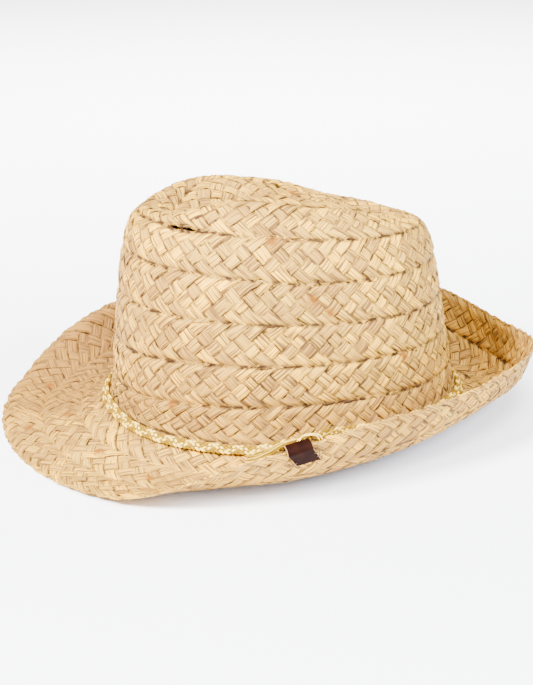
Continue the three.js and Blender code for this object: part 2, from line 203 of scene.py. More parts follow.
# %% A net over the whole hat
# Rows are counted from the foot: 0 to 9 up the crown to its tip, 0 to -3 out to the brim's edge.
NET_TURN, NET_ROW, NET_BEYOND = 720, 24, 0.125
FIRST_ROW, LAST_ROW = -BRIM_ROWS - NET_BEYOND, CROWN_ROWS
net_theta = np.linspace(0, 2 * np.pi, NET_TURN + 1)
net_rows = np.linspace(FIRST_ROW, LAST_ROW, int((LAST_ROW - FIRST_ROW) * NET_ROW) + 1)
crown_line, brim_line = crown_lines(net_theta), brim_lines(net_theta)


def running_length(lines):
    """The length along each line, from its start to each of its points."""
    steps = np.linalg.norm(np.diff(lines, axis=1), axis=-1)
    return np.concatenate([np.zeros((len(lines), 1)), np.cumsum(steps, 1)], 1)


crown_length, brim_length = running_length(crown_line), running_length(brim_line)
brim_width = through(BRIM_WIDTH, from_front(net_theta))


def seam_lengths(i):
    """How far up the straw each seam runs at one angle of the net, from the brim's edge up."""
    angle = from_front(net_theta[i])
    wall = [through(dict(zip(SEAM_ANGLES, seam)), angle) for seam in CROWN_SEAMS]
    top = np.linspace(wall[-1], crown_length[i, -1], TOP_ROWS + 1)[1:]
    return [-brim_width[i], 0.0, *wall, *top]


def net_points(i):
    """One line of the net, from beyond the brim's edge up to the tip, with the foot rounded off."""
    rows = [-BRIM_ROWS, *range(CROWN_ROWS + 1)]
    up = np.interp(net_rows, rows, seam_lengths(i))
    beyond = net_rows < -BRIM_ROWS
    up[beyond] = net_rows[beyond] / BRIM_ROWS * brim_width[i]
    on_crown, on_brim = crown_line[i], brim_line[i]
    t = ((up + FOOT_FILLET) / (2 * FOOT_FILLET))[:, None]
    points = np.zeros((len(up), 3))
    for axis in range(3):
        above = np.interp(up, crown_length[i], on_crown[:, axis])
        below = np.interp(-up, brim_length[i], on_brim[:, axis])
        points[:, axis] = np.where(up > 0, above, below)
    high = [np.interp(FOOT_FILLET, crown_length[i], on_crown[:, axis]) for axis in range(3)]
    low = [np.interp(FOOT_FILLET, brim_length[i], on_brim[:, axis]) for axis in range(3)]
    rounded = (1 - t) ** 2 * low + 2 * t * (1 - t) * on_crown[0] + t * t * high
    return np.where(np.abs(up)[:, None] < FOOT_FILLET, rounded, points)


net = np.stack([net_points(i) for i in range(len(net_theta))])
print("net over the hat:", net.shape)

# %% Outward directions of the net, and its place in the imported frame
around = np.empty_like(net)
around[1:-1] = net[2:] - net[:-2]
around[0] = around[-1] = net[1] - net[-2]
upward = np.gradient(net, axis=1)
net_normal = np.cross(around, upward)
net_normal[:, -1] = net_normal[:, -2]  # the tip is one point, so it takes what lies beside it
net_normal /= np.linalg.norm(net_normal, axis=-1, keepdims=True)

CROWN_NODES = ("crown_side", "crown_top")
PACKED_TURN = 12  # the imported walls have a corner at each 12th angle of this net
foot_row = int(np.argmin(np.abs(net_rows)))
wall_skin = (net + net_normal * WALL / 2)[::PACKED_TURN, foot_row:].reshape(-1, 3)
crown_low = np.minimum(*(np.array(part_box(node)[0]) for node in CROWN_NODES)) / MM
crown_high = np.maximum(*(np.array(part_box(node)[1]) for node in CROWN_NODES)) / MM
shift = (crown_low + crown_high - wall_skin.min(0) - wall_skin.max(0)) / 2
shift[2] = crown_high[2] - wall_skin[:, 2].max()
net += shift
print("place of the net in the packed frame, mm:", shift.round(2))

# %% [markdown]
# ## Camera, floor and light
# The camera stands where the picture was taken from: its angle, distance and lens were found by
# fitting the outline of the hat. The picture is 533 by 685 pixels. The floor is a plain pale
# plane. The light is soft. The key lamp stands high on the camera's left, a second one stands over
# the camera, and two slightly blue ones on the right keep that side from going dark. One more is
# aimed at the far floor, so that the paper behind the hat is as pale as the paper under it. A sky
# picture could light the hat too, but a few large lamps are easier to set one by one.

# %% Camera
PICTURE_HEIGHT = 685
VIEW_AZIMUTH, VIEW_ELEVATION, VIEW_DISTANCE = 67.118, 19.275, 874.7
FOCAL_PIXELS, AIM_SIDE, AIM_HEIGHT = 1458.9, -10.89, 45.40
SENSOR = 36.0

azimuth, elevation = math.radians(VIEW_AZIMUTH), math.radians(VIEW_ELEVATION)
view_right = Vector((math.cos(azimuth), math.sin(azimuth), 0))
view_back = Vector((math.sin(azimuth) * math.cos(elevation),
                    -math.cos(azimuth) * math.cos(elevation), math.sin(elevation)))
aim = (view_right * AIM_SIDE + Vector((0, 0, AIM_HEIGHT)) + Vector(shift)) * MM
bpy.ops.object.camera_add(location=aim + view_back * VIEW_DISTANCE * MM)
camera = bpy.context.object
camera.rotation_mode = "QUATERNION"
camera.rotation_quaternion = (-view_back).to_track_quat("-Z", "Y")
camera.data.sensor_width = SENSOR  # goes with the longer side of the picture, its height
camera.data.lens = FOCAL_PIXELS / PICTURE_HEIGHT * SENSOR
bpy.context.scene.camera = camera
print("lens, mm:", round(camera.data.lens, 1))

# %% Floor
FLOOR_SIZE = 14
PAPER_COLOR, PAPER_ROUGH = (0.96, 0.95, 0.94), 0.9


def start_fresh():
    """Leaves edit mode and deselects everything, because an operator acts on all selected."""
    if bpy.context.object and bpy.context.object.mode != "OBJECT":
        bpy.ops.object.mode_set(mode="OBJECT")
    bpy.ops.object.select_all(action="DESELECT")


def plain_material(name, color, roughness):
    """One colour and one roughness all over."""
    material = bpy.data.materials.new(name)
    material.use_nodes = True
    shader = material.node_tree.nodes["Principled BSDF"]
    shader.inputs["Base Color"].default_value = (*color, 1)
    shader.inputs["Roughness"].default_value = roughness
    return material


start_fresh()
bpy.ops.mesh.primitive_plane_add(size=FLOOR_SIZE)
floor = bpy.context.object
floor.name = "floor"
floor.data.materials.append(plain_material("floor_paper", PAPER_COLOR, PAPER_ROUGH))
print("floor, m wide:", FLOOR_SIZE)

# %% Light
HAT_MIDDLE, FAR_FLOOR = (0.0, 0.0, 0.06), (-2.7, 1.1, 0.0)
WHITE, COOL = (1.0, 1.0, 1.0), (0.8, 0.92, 1.12)
ROOM_COLOR, ROOM_STRENGTH = (0.9, 0.96, 1.08), 0.35
LIGHTS = (
    # name, place in metres, place that it is aimed at, size, power in watts, colour
    ("key", (0.5, -1.58, 1.55), HAT_MIDDLE, 0.6, 262.0, WHITE),
    ("high_fill", (1.25, -0.45, 1.95), HAT_MIDDLE, 0.8, 115.0, WHITE),
    ("low_fill", (1.9, 0.25, 0.7), HAT_MIDDLE, 1.0, 42.0, COOL),
    ("side_fill", (1.35, 0.93, 1.3), HAT_MIDDLE, 0.8, 105.0, COOL),
    ("top", (0.1, 0.1, 2.1), HAT_MIDDLE, 1.4, 12.0, WHITE),
    ("paper", (-0.9, 0.4, 1.5), FAR_FLOOR, 1.5, 260.0, WHITE),
)


def add_light(name, place, target, size, power, color):
    """A square lamp, turned to face its target."""
    start_fresh()
    bpy.ops.object.light_add(type="AREA", location=place)
    light = bpy.context.object
    light.name = name
    light.data.size = size
    light.data.energy = power
    light.data.color = color
    light.rotation_mode = "QUATERNION"
    light.rotation_quaternion = (Vector(target) - Vector(place)).to_track_quat("-Z", "Y")


for light_row in LIGHTS:
    add_light(*light_row)
world = bpy.data.worlds.new("studio")
world.use_nodes = True
room_light = world.node_tree.nodes["Background"]
room_light.inputs["Color"].default_value = (*ROOM_COLOR, 1)
room_light.inputs["Strength"].default_value = ROOM_STRENGTH
bpy.context.scene.world = world
print("lamps:", len(LIGHTS))

# %% [markdown]
# ## One leg of straw
# Seen flat, a braid is made of straw legs that run from one edge to the other at about 40
# degrees, over one leg and under the next. Each leg is a bundle of raffia fibres: a flat ribbon
# with rounded sides and shallow grooves along it, narrowing at the two folds. One leg is modelled
# and copied to each place. It could be a flat plane with a bump map, but the rounded
# sides are what makes the shadows of the weave. A shape that is repeated so often should have only
# a few dozen faces. This one has more, because it bends over or under four other legs between its
# folds, and each bend takes several cuts, while its grooves and sides take 12 points across it.

# %% Model the leg
BAR_END = 0.5
LEG_SIDES, LEG_CUTS = 12, 19
LEG_GROOVE, LEG_SHOULDER = 0.78, 1.36
GROOVE_WITHIN, SIDE_BEYOND, FLAT_WITHIN, CUT_WITHIN = 0.05, 0.4, 0.1, 0.02
LEG_TAPER = (
    # place from the middle, width, thickness, how far the end leans to the side
    (0.5, 0.3, 0.5, 0.24), (0.45, 0.68, 0.75, 0.12), (0.4, 0.9, 0.92, 0.04),
)


def clear_selection(thing, kind):
    """Deselects all of a model, and leaves one kind of element to select: points or edges."""
    bpy.context.view_layer.objects.active = thing
    thing.select_set(True)
    bpy.ops.object.mode_set(mode="EDIT")
    bpy.ops.mesh.select_mode(type=kind)
    bpy.ops.mesh.select_all(action="DESELECT")
    bpy.ops.object.mode_set(mode="OBJECT")


def select_points(thing, chosen):
    """In edit mode, selects just the vertices for which chosen(place) is true."""
    bpy.ops.mesh.select_all(action="DESELECT")
    bpy.ops.object.mode_set(mode="OBJECT")
    for vertex in thing.data.vertices:
        vertex.select = bool(chosen(vertex.co))
    bpy.ops.object.mode_set(mode="EDIT")


def long_ribbon(name, sides, cuts):
    """A round bar from x = -0.5 to 0.5, cut across in equal steps."""
    start_fresh()
    bpy.ops.mesh.primitive_cylinder_add(vertices=sides, radius=BAR_END, depth=2 * BAR_END,
                                        rotation=(0, math.pi / 2, 0))
    bar = bpy.context.object
    bar.name = name
    bpy.ops.object.transform_apply(location=True, rotation=True, scale=True)
    clear_selection(bar, "EDGE")
    for edge in bar.data.edges:
        a, b = (bar.data.vertices[v].co for v in edge.vertices)
        edge.select = abs(a.x - b.x) > BAR_END  # the edges along the bar
    bpy.ops.object.mode_set(mode="EDIT")
    bpy.ops.mesh.subdivide(number_cuts=cuts)
    bpy.ops.mesh.select_mode(type="VERT")
    return bar


def shape_points(thing, chosen, resize, move=(0, 0, 0)):
    """Resizes the chosen vertices about the middle of the bar, and then moves them."""
    select_points(thing, chosen)
    bpy.ops.transform.resize(value=resize, center_override=(0, 0, 0))
    bpy.ops.transform.translate(value=move)


def taper_ends(thing, reach, narrow, thin, lean=0.0):
    """Narrows and thins the cuts at one distance from the middle, at both ends."""
    for end in (-1, 1):
        shape_points(thing, lambda p: abs(p.x - end * reach) < CUT_WITHIN,
                     resize=(1, narrow, thin), move=(0, end * lean, 0))


leg = long_ribbon("straw_leg", LEG_SIDES, LEG_CUTS)
shape_points(leg, lambda p: abs(p.y) < GROOVE_WITHIN, resize=(1, 1, LEG_GROOVE))
shape_points(leg, lambda p: abs(p.y) > SIDE_BEYOND and abs(p.z) > FLAT_WITHIN,
             resize=(1, 1, LEG_SHOULDER))
for taper in LEG_TAPER:
    taper_ends(leg, *taper)
bpy.ops.object.mode_set(mode="OBJECT")
print("one leg:", len(leg.data.vertices), "points,", len(leg.data.polygons), "faces")


# %% Read a model as arrays, so that copies can be bent along the hat
STREAK_MAP = "along_straw"


def as_arrays(thing):
    """The places of a model's corners, and a list of the corners of each of its faces."""
    mesh = thing.data
    places = np.array([v.co for v in mesh.vertices], float)
    corners = [list(face.vertices) for face in mesh.polygons]
    return places, corners


def put_away(thing):
    """Deletes a model that is only needed as arrays."""
    start_fresh()
    thing.select_set(True)
    bpy.ops.object.delete()


leg_places, leg_faces = as_arrays(leg)
put_away(leg)


def joined_mesh(name, places, faces, flipped, maps, tones):
    """One mesh of many copies. places is copies x corners x 3 in metres, maps copies x corners x 2
    for the UV map, and tones a dict of one value for each corner or each copy."""
    copies, corners = places.shape[:2]
    forward = np.concatenate([np.array(face) for face in faces])
    backward = np.concatenate([np.array(face[::-1]) for face in faces])
    counts = np.tile([len(face) for face in faces], copies)
    loops = np.where(flipped[:, None], backward, forward) + corners * np.arange(copies)[:, None]
    loops = loops.ravel()
    mesh = bpy.data.meshes.new(name)
    mesh.vertices.add(copies * corners)
    mesh.vertices.foreach_set("co", places.astype(np.float32).ravel())
    mesh.loops.add(len(loops))
    mesh.loops.foreach_set("vertex_index", loops.astype(np.int32))
    mesh.polygons.add(len(counts))
    starts = np.concatenate([[0], np.cumsum(counts)[:-1]])
    mesh.polygons.foreach_set("loop_start", starts.astype(np.int32))
    mesh.update(calc_edges=True)
    mesh.validate()
    uv = mesh.uv_layers.new(name=STREAK_MAP)
    uv.data.foreach_set("uv", maps.reshape(-1, 2)[loops].astype(np.float32).ravel())
    for tone, values in tones.items():
        full = np.broadcast_to(values if np.ndim(values) == 2 else values[:, None],
                               (copies, corners))
        layer = mesh.attributes.new(tone, "FLOAT", "POINT")
        layer.data.foreach_set("value", full.astype(np.float32).ravel())
    thing = bpy.data.objects.new(name, mesh)
    bpy.context.scene.collection.objects.link(thing)
    mesh.shade_smooth()
    return thing


# %% [markdown]
# ## Where the braid runs
# The braid starts at the tip of the crown and goes down and outwards, turn by turn, to the edge
# of the brim. On the wearer's left its rows follow the seams seen in the photo. The step from one
# row to the next is taken on the other side, little by little. Separate rings would be simpler to
# make, but each of them would need a joint, which the real braid doesn't have. The only end of the
# braid that could show is the one at the brim's edge, so it is tapered out behind the crown.

# %% The spiral
# In degrees from the front: where a row starts to step out, where it has reached the next one, the
# same for the last seam, and where each turn starts.
STEP_FROM, STEP_TO, LAST_STEP_TO, TURN_START = 190.0, 350.0, 290.0, -10.0
SPIRAL_STEP = 0.5
SHORT_OF_LAST = 1.001  # keeps a reading inside the last cell of the net
ALL_ROWS = CROWN_ROWS + BRIM_ROWS
FIRST_ANGLE, LAST_ANGLE = 0.0, ALL_ROWS * 360 + 305.0

spiral_angle = np.arange(FIRST_ANGLE, LAST_ANGLE, SPIRAL_STEP)
spiral_turn = np.floor((spiral_angle - TURN_START) / 360)
in_turn = spiral_angle - 360 * spiral_turn


def seam_under(turn):
    """The row of the seam under a turn of the braid. The last seam steps out sooner, so that the
    end of the braid lies behind the crown."""
    step_to = np.where(turn < ALL_ROWS - 1, STEP_TO, LAST_STEP_TO)
    return CROWN_ROWS - turn - ease((in_turn - STEP_FROM) / (step_to - STEP_FROM))


spiral_low = np.maximum(seam_under(spiral_turn), -BRIM_ROWS)
spiral_high = np.minimum(seam_under(spiral_turn - 1), CROWN_ROWS)


def on_net(grid, angle, row):
    """Reads the net between its points, at an angle in degrees and a row."""
    a = np.mod(angle, 360) / 360 * NET_TURN
    r = np.clip((row - FIRST_ROW) * (len(net_rows) - 1) / (LAST_ROW - FIRST_ROW),
                0, len(net_rows) - SHORT_OF_LAST)
    i, j = a.astype(int) % NET_TURN, r.astype(int)
    u, v = (a - np.floor(a))[..., None], (r - j)[..., None]
    near = grid[i, j] * (1 - v) + grid[i, j + 1] * v
    far = grid[i + 1, j] * (1 - v) + grid[i + 1, j + 1] * v
    return near * (1 - u) + far * u


middle_line = on_net(net, spiral_angle, (spiral_low + spiral_high) / 2)
spiral_steps = np.linalg.norm(np.diff(middle_line, axis=0), axis=1)
spiral_length = np.concatenate([[0], np.cumsum(spiral_steps)])
print("length of the braid, m:", round(spiral_length[-1] * MM, 2))

# %% [markdown]
# ## Weave the braid
# A leg's place along the braid and across it says whether it is over or under: it rises and falls
# once for each leg that it crosses, and its neighbour does the same half a step later. At the edge
# of a row it folds over and its narrow end slips under the next leg, which makes the wheat-ear
# pattern of the seams. Width, thickness, place and colour change a little from leg to leg. A
# picture of a weave on a smooth wall would be lighter, but it would show as flat at the outline.

# %% Sizes of the weave
# Steps along the braid and heights are in mm, the others are shares of a leg or of a row.
PITCH, LEGS_ACROSS = 10.4, 2.5
LEG_THICK, LEG_RISE, LEG_FILL, LEG_REACH = 1.05, 0.7, 1.12, 1.1
OVERRUN, EDGE_EASE = 0.08, 0.35
FOLD_START, FOLD_SPAN, FOLD_DROP = 0.8, 0.28, 1.5
SEAM_SINK, SEAM_REACH = 0.6, 0.08
BUNDLES = 8
# How much the legs differ: place, lean, bundle and height in mm, the others as shares.
SPREAD = {"width": 0.08, "thick": 0.15, "place": 0.3, "lean": 0.55, "reach": 0.02,
          "bundle": 0.13, "height": 0.1}


def across_row(share):
    """Place across the row, 0 to 1, for a share of the leg's length."""
    run = (share + OVERRUN) / (1 + 2 * OVERRUN)
    return (1 - EDGE_EASE) * run + EDGE_EASE * (1 - np.cos(np.pi * run)) / 2


def over_under(share, side):
    """1 where the leg is over its neighbour and -1 where it is under."""
    wave = np.cos(np.pi * (2 * LEGS_ACROSS * share + side))
    top = 1 - FOLD_DROP * (share - FOLD_START) / FOLD_SPAN
    foot = -1 + FOLD_DROP * (1 - FOLD_START - share) / FOLD_SPAN
    return np.where(share > FOLD_START, top, np.where(share < 1 - FOLD_START, foot, wave))


def vary(kind, *shape):
    """Small random changes from leg to leg."""
    return random.normal(0, SPREAD[kind], shape)


# %% [markdown]
# ## What makes the braid uneven
# In a few places the legs stand apart, so that the dark inside shows. The front of the brim is
# pressed flatter than the rest, and the folds at the brim's edge are rounded. The foot of the crown
# is more tan, the brim gets painted shade in the same tan colour, most of it on its far side, and a
# few ends of straw are orange-brown. Each of these is a short list of places, and fades out around
# them. Noise alone would put them anywhere.

# %% Gaps and flattened straw
# The relief that is lost, up to how far from the front, over how many degrees and how many rows.
PRESSED, PRESSED_ANGLE, PRESSED_FADE, PRESSED_ROWS = 0.5, 80.0, 45.0, 0.8
# How far corners are drawn in and how deep, from which row on, and over how many rows.
ROUNDED, ROUNDED_DEPTH, ROUNDED_FROM, ROUNDED_ROWS = 0.075, 0.12, -2.2, 0.6
# How near to a gap a seam has to be, and over what share of the row its pull fades.
GAP_WITHIN, GAP_FADE = 0.3, 0.3
GAPS = (
    # angle, row, half length in degrees, opening as a share of the row
    (22.5, 5.0, 3.2, 0.085), (28.5, 5.0, 3.4, 0.095), (257.0, 6.63, 3.2, 0.11),
    (266.0, 6.54, 2.2, 0.08), (56.0, 4.0, 1.4, 0.06), (82.0, 4.0, 1.8, 0.07),
    (70.0, 5.0, 1.5, 0.06), (98.0, 5.0, 1.8, 0.06), (38.0, 2.0, 1.4, 0.05),
)


def turned_from(angle, other):
    """Degrees between two angles, the short way round."""
    return np.abs(np.mod(angle - other + 180, 360) - 180)


def pulled_back(angle, t, low, high):
    """Place across the row, with the ends of the legs beside each gap drawn back from it."""
    for gap_angle, gap_row, half, opening in GAPS:
        beside = opening * np.exp(-((turned_from(angle, gap_angle) / half) ** 2))
        over_gap = np.abs(low - gap_row) < GAP_WITHIN
        under_gap = np.abs(high - gap_row) < GAP_WITHIN
        t = t + beside * over_gap * np.exp(-np.maximum(t, 0) / GAP_FADE)
        t = t - beside * under_gap * np.exp(-np.maximum(1 - t, 0) / GAP_FADE)
    return t


def pressed(angle, row):
    """How much of its relief the weave keeps: half of it at the front of the brim."""
    front = ease((PRESSED_ANGLE - turned_from(angle, 0)) / PRESSED_FADE)
    return 1 - PRESSED * front * ease(-row / PRESSED_ROWS)


def rounded_off(t, low):
    """Place across the row, with the sides of a leg drawn in where it folds at the brim's edge."""
    off_side = (2 * leg_places[:, 1][None]) ** 2
    corner = ROUNDED * off_side * ease((ROUNDED_FROM - low) / ROUNDED_ROWS)
    return t + corner * np.exp(-np.maximum(t, 0) / ROUNDED_DEPTH)


# %% Tan straw, painted shade on the brim, and orange-brown ends of straw
TAN_FOOT, TAN_ROWS, TAN_FADE, BRIM_FADE = 0.32, 2.2, 2.0, 0.5
# Tan colour on the brim by angle: mostly painted shade, strongest on the far side and the back.
BRIM_SHADE_AND_TAN = {0: 0.15, 60: 0.15, 110: 0.3, 180: 0.4, 230: 0.75, 300: 1.0, 340: 0.75, 360: 0.15}
TAN_PATCHES = (
    # angle, row, reach in degrees, reach in rows, amount
    (9.0, 0.5, 9.0, 0.5, 0.5), (124.0, 0.5, 14.0, 0.45, 0.5), (84.0, 0.65, 4.0, 0.4, 0.45),
    (100.0, 0.6, 6.0, 0.4, 0.3),
)
FLECKS = (
    # angle, row
    (14.0, -1.33), (349.0, -1.33), (329.5, -2.17), (352.5, -2.38), (61.0, 4.92), (244.0, 6.79),
    (78.0, 3.62), (85.5, 3.29), (28.0, 0.96), (32.0, -1.54), (96.0, -1.54), (119.0, 1.9),
)
# The reach of a fleck in mm, mm out from the middle of the wall, and how full its middle is.
FLECK_SIZE, FLECK_HEIGHT, FLECK_CORE = 2.2, 1.7, 2.0


def tan_and_shade_at(angle, row):
    """How much tan colour the straw gets, 0 to 1: its own tan, and painted shade on the brim."""
    amount = TAN_FOOT * ease((TAN_ROWS - row) / TAN_FADE)
    on_brim = through(BRIM_SHADE_AND_TAN, np.mod(angle, 360)) - TAN_FOOT
    amount = amount + on_brim * ease(-row / BRIM_FADE)
    for patch_angle, patch_row, wide, high, most in TAN_PATCHES:
        off = (turned_from(angle, patch_angle) / wide) ** 2 + ((row - patch_row) / high) ** 2
        amount = amount + most * np.exp(-off)
    return np.clip(amount, 0, 1)


def near_flecks(points):
    """1 at the orange-brown ends of straw, falling to 0 around them."""
    amount = np.zeros(points.shape[:2])
    for angle, row in FLECKS:
        place = np.array([float(angle)]), np.array([float(row)])
        centre = on_net(net, *place)[0] + on_net(net_normal, *place)[0] * FLECK_HEIGHT
        away = np.linalg.norm(points - centre, axis=-1)
        near = np.minimum(FLECK_CORE * np.exp(-((away / FLECK_SIZE) ** 2)), 1)
        amount = np.maximum(amount, near)
    return amount


# %% Bend the legs along the braid
def lay_legs(numbers, rising):
    """Bends a copy of the leg to each numbered place of the braid. Returns points in mm, angles,
    rows and places across the row, 0 to 1."""
    count = len(numbers)
    share = (leg_places[:, 0] + 0.5) * (1 + 2 * OVERRUN) - OVERRUN
    side = leg_places[:, 1][None] * (1 + vary("width", count, 1)) * LEG_FILL
    share = np.broadcast_to(share, side.shape)
    lead = np.where(rising, 0, LEGS_ACROSS)[:, None]
    moved = vary("place", count, 1) + vary("lean", count, 1) * (share - 0.5)
    along = (numbers[:, None] + lead + LEGS_ACROSS * share + side) * PITCH + moved
    t = 0.5 + (across_row(share) - 0.5) * (LEG_REACH + vary("reach", count, 1))
    t = np.where(rising[:, None], t, 1 - t)
    angle = np.interp(along, spiral_length, spiral_angle)
    low = np.interp(angle, spiral_angle, spiral_low)
    high = np.interp(angle, spiral_angle, spiral_high)
    t = rounded_off(t, low)
    row = low + (high - low) * pulled_back(angle, t, low, high)
    relief = pressed(angle, row)
    sink = SEAM_SINK * np.exp(-((np.minimum(t, 1 - t) / SEAM_REACH) ** 2))
    bundle = np.clip(np.round((leg_places[:, 1] + 0.5) * BUNDLES), 0, BUNDLES).astype(int)
    start, end = vary("bundle", count, BUNDLES + 1), vary("bundle", count, BUNDLES + 1)
    ridge = start[:, bundle] * (1 - share) + end[:, bundle] * share
    thick = leg_places[:, 2][None] * LEG_THICK * (1 + vary("thick", count, 1))
    proud = LEG_RISE * relief * over_under(share, side) + thick - sink + vary("height", count, 1)
    proud = proud + ridge * relief * np.sign(leg_places[:, 2])[None]
    points = on_net(net, angle, row) + on_net(net_normal, angle, row) * proud[..., None]
    return points, angle, row, t


# %% [markdown]
# ## One piece for each turn
# All legs of a turn are joined into one mesh, so that the braid is 13 pieces and not thousands.
# Each leg has its own part of the UV map, and five values that its colour is mixed from later: its
# own tone, how tan the straw is there, which also carries painted shade on the brim, and how near
# the leg's side, a fleck and a seam are. Shade is painted at the sides and the seams.

# %% Weave each turn as its own piece
MAP_APART, STRAW_MAP = 50.0, (3.4, 1.0)
LEGS_LEFT_OFF, ROW_MIDDLE, FLOOR_HEIGHT = 5, 0.5, 0.0
# Painted shade at the seams is marked where the weave keeps its relief, apart from the brim's edge.
# Where the end of the braid is narrower than NARROW_ROW, the painted shade at the sides of its legs
# is marked less.
SEAM_RELIEF, OUTER_SEAM, NARROW_ROW = 0.85, -2.6, 0.6


def own_maps(places, count, scales):
    """A UV map for each of a number of copies, each at a random place of the pattern."""
    maps = np.empty((count, len(places), 2))
    for axis, scale in enumerate(scales):
        corner = random.uniform(0, MAP_APART, count)[:, None]
        maps[..., axis] = places[:, axis][None] * scale + corner
    return maps


braid_pieces = []
leg_count = int((spiral_length[-1] - LEGS_LEFT_OFF * PITCH) / PITCH)
for first_turn in range(ALL_ROWS + 1):
    name = f"brim_braid_{first_turn - CROWN_ROWS}"
    if first_turn <= CROWN_ROWS:
        name = f"crown_braid_{CROWN_ROWS - first_turn}"
    ends = [turn * 360 + TURN_START for turn in (first_turn, first_turn + 1)]
    start, end = np.interp(ends, spiral_angle, spiral_length)
    numbers = np.arange(leg_count)
    middle = (numbers + LEGS_ACROSS / 2) * PITCH
    numbers = numbers[(middle >= start) & (middle < end)]
    rising = np.arange(2 * len(numbers)) < len(numbers)
    numbers = np.concatenate([numbers, numbers - 1]).astype(float)
    points, angles, rows, across = lay_legs(numbers, rising)
    places = points * MM
    places[..., 2] = np.maximum(places[..., 2], FLOOR_HEIGHT)
    maps = own_maps(leg_places, len(numbers), STRAW_MAP)
    row_width = np.interp(angles, spiral_angle, spiral_high - spiral_low)
    side = 2 * np.abs(leg_places[:, 1])[None] * np.clip(row_width / NARROW_ROW, 0, 1)
    seam_shade_here = (pressed(angles, rows) > SEAM_RELIEF) & (rows > OUTER_SEAM)
    # The tan value also holds painted shade on the brim; side and seam mark where shade is painted.
    tones = {"tone": random.uniform(0, 1, len(numbers)), "tan_and_shade": tan_and_shade_at(angles, rows),
             "side": side, "fleck": near_flecks(points),
             "seam": np.where(seam_shade_here, across, ROW_MIDDLE)}
    piece = joined_mesh(name, places, leg_faces, rising, maps, tones)
    braid_pieces.append(piece)
    print(name, len(numbers), "legs,", len(piece.data.polygons), "faces")

for piece in braid_pieces:
    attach(piece, "root")
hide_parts("crown_side")
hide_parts("crown_top")
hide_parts("brim")

# %% [markdown]
# ## The cord round the crown
# A flat cord of cotton yarn, plaited from pale yellow and cream strands, lies round the foot of
# the crown. It is woven like the straw, from short legs of soft round yarn over its whole length:
# a smooth band with a painted pattern would lose its knobbly edge. The crown carries it all the
# way round, so nothing has to be simulated: its line follows the wall.

# %% Where the cord lies
CORD_WIDTH, CORD_THICK, CORD_CLEAR = 5.8, 2.0, 0.7
# angle from the front, and mm up the straw from the foot
CORD_OFFSET = {73: 1.3, 84: 5.0, 180: 0.0, 330: 0.5, 360: -1.5, 375: -4.8, 390: -6.3, 415: -6.1,
               433: 1.3}
CORD_PITCH, YARN_THICK, YARN_RISE, YARN_FILL = 2.7, 1.15, 0.4, 1.0
YARN_SIDES, YARN_CUTS, CORD_STATIONS = 8, 9, 1440
KNOT_ANGLE, KNOT_HALF_ANGLE = 73.0, 3.0


def row_at(angle, offset):
    """The row at a length in mm up the straw from the foot, near the foot."""
    turned = turned_from(angle, 0)
    first_seam = through(dict(zip(SEAM_ANGLES, CROWN_SEAMS[0])), turned)
    brim_row = through(BRIM_WIDTH, turned) / BRIM_ROWS
    return offset / np.where(offset > 0, first_seam, brim_row)


def over_wall(angle, offset, height):
    """A point at a height over the outer side of the wall, and the ways up and outward there."""
    row = row_at(angle, offset)
    outward = on_net(net_normal, angle, row)
    above, below = (on_net(net, angle, row_at(angle, offset + step)) for step in (1, -1))
    up = above - below
    up /= np.linalg.norm(up, axis=-1, keepdims=True)
    return on_net(net, angle, row) + outward * (WALL / 2 + height)[..., None], up, outward


cord_angle = np.linspace(KNOT_ANGLE + KNOT_HALF_ANGLE, KNOT_ANGLE - KNOT_HALF_ANGLE + 360,
                         CORD_STATIONS)
cord_offset = through(CORD_OFFSET, cord_angle)
cord_height = np.full(CORD_STATIONS, CORD_CLEAR + CORD_THICK / 2)
cord_centre, cord_up, cord_outward = over_wall(cord_angle, cord_offset, cord_height)
cord_steps = np.linalg.norm(np.diff(cord_centre, axis=0), axis=1)
cord_length = np.concatenate([[0], np.cumsum(cord_steps)])
print("length of the cord, m:", round(cord_length[-1] * MM, 3))

# %% Plait the cord
YARN_TAPER = ((0.5, 0.45), (0.4, 0.85))
YARN_MAP, STRANDS, STRAND_SPREAD, YARNS_LEFT_OFF = (1.6, 0.5), 5, 0.12, 3

yarn = long_ribbon("yarn_leg", YARN_SIDES, YARN_CUTS)
for reach, narrow in YARN_TAPER:
    taper_ends(yarn, reach, narrow, narrow)
bpy.ops.object.mode_set(mode="OBJECT")
yarn_places, yarn_faces = as_arrays(yarn)
put_away(yarn)


def read_line(values, along):
    """Reads a line of points at lengths along the cord."""
    place = np.interp(along, cord_length, np.arange(CORD_STATIONS))
    i = np.minimum(place.astype(int), CORD_STATIONS - 2)
    return values[i] + (values[i + 1] - values[i]) * (place - i)[..., None]


def plait(count):
    """Bends a copy of the yarn leg to each place of the cord, in both directions across it."""
    rising = np.arange(2 * count) < count
    numbers = np.concatenate([np.arange(count), np.arange(count) - 1]).astype(float)
    share = np.broadcast_to(yarn_places[:, 0] + 0.5, (2 * count, len(yarn_places)))
    side = yarn_places[:, 1][None] * YARN_FILL * (1 + vary("width", 2 * count, 1))
    lead = np.where(rising, 0, LEGS_ACROSS)[:, None]
    along = (numbers[:, None] + lead + LEGS_ACROSS * share + side) * CORD_PITCH
    t = np.where(rising[:, None], share, 1 - share)
    sideways = (t - 0.5) * CORD_WIDTH
    wave = np.cos(np.pi * (2 * LEGS_ACROSS * share + side))
    proud = YARN_RISE * wave + yarn_places[:, 2][None] * YARN_THICK
    points = (read_line(cord_centre, along) + read_line(cord_up, along) * sideways[..., None]
              + read_line(cord_outward, along) * proud[..., None])
    return points, rising, numbers


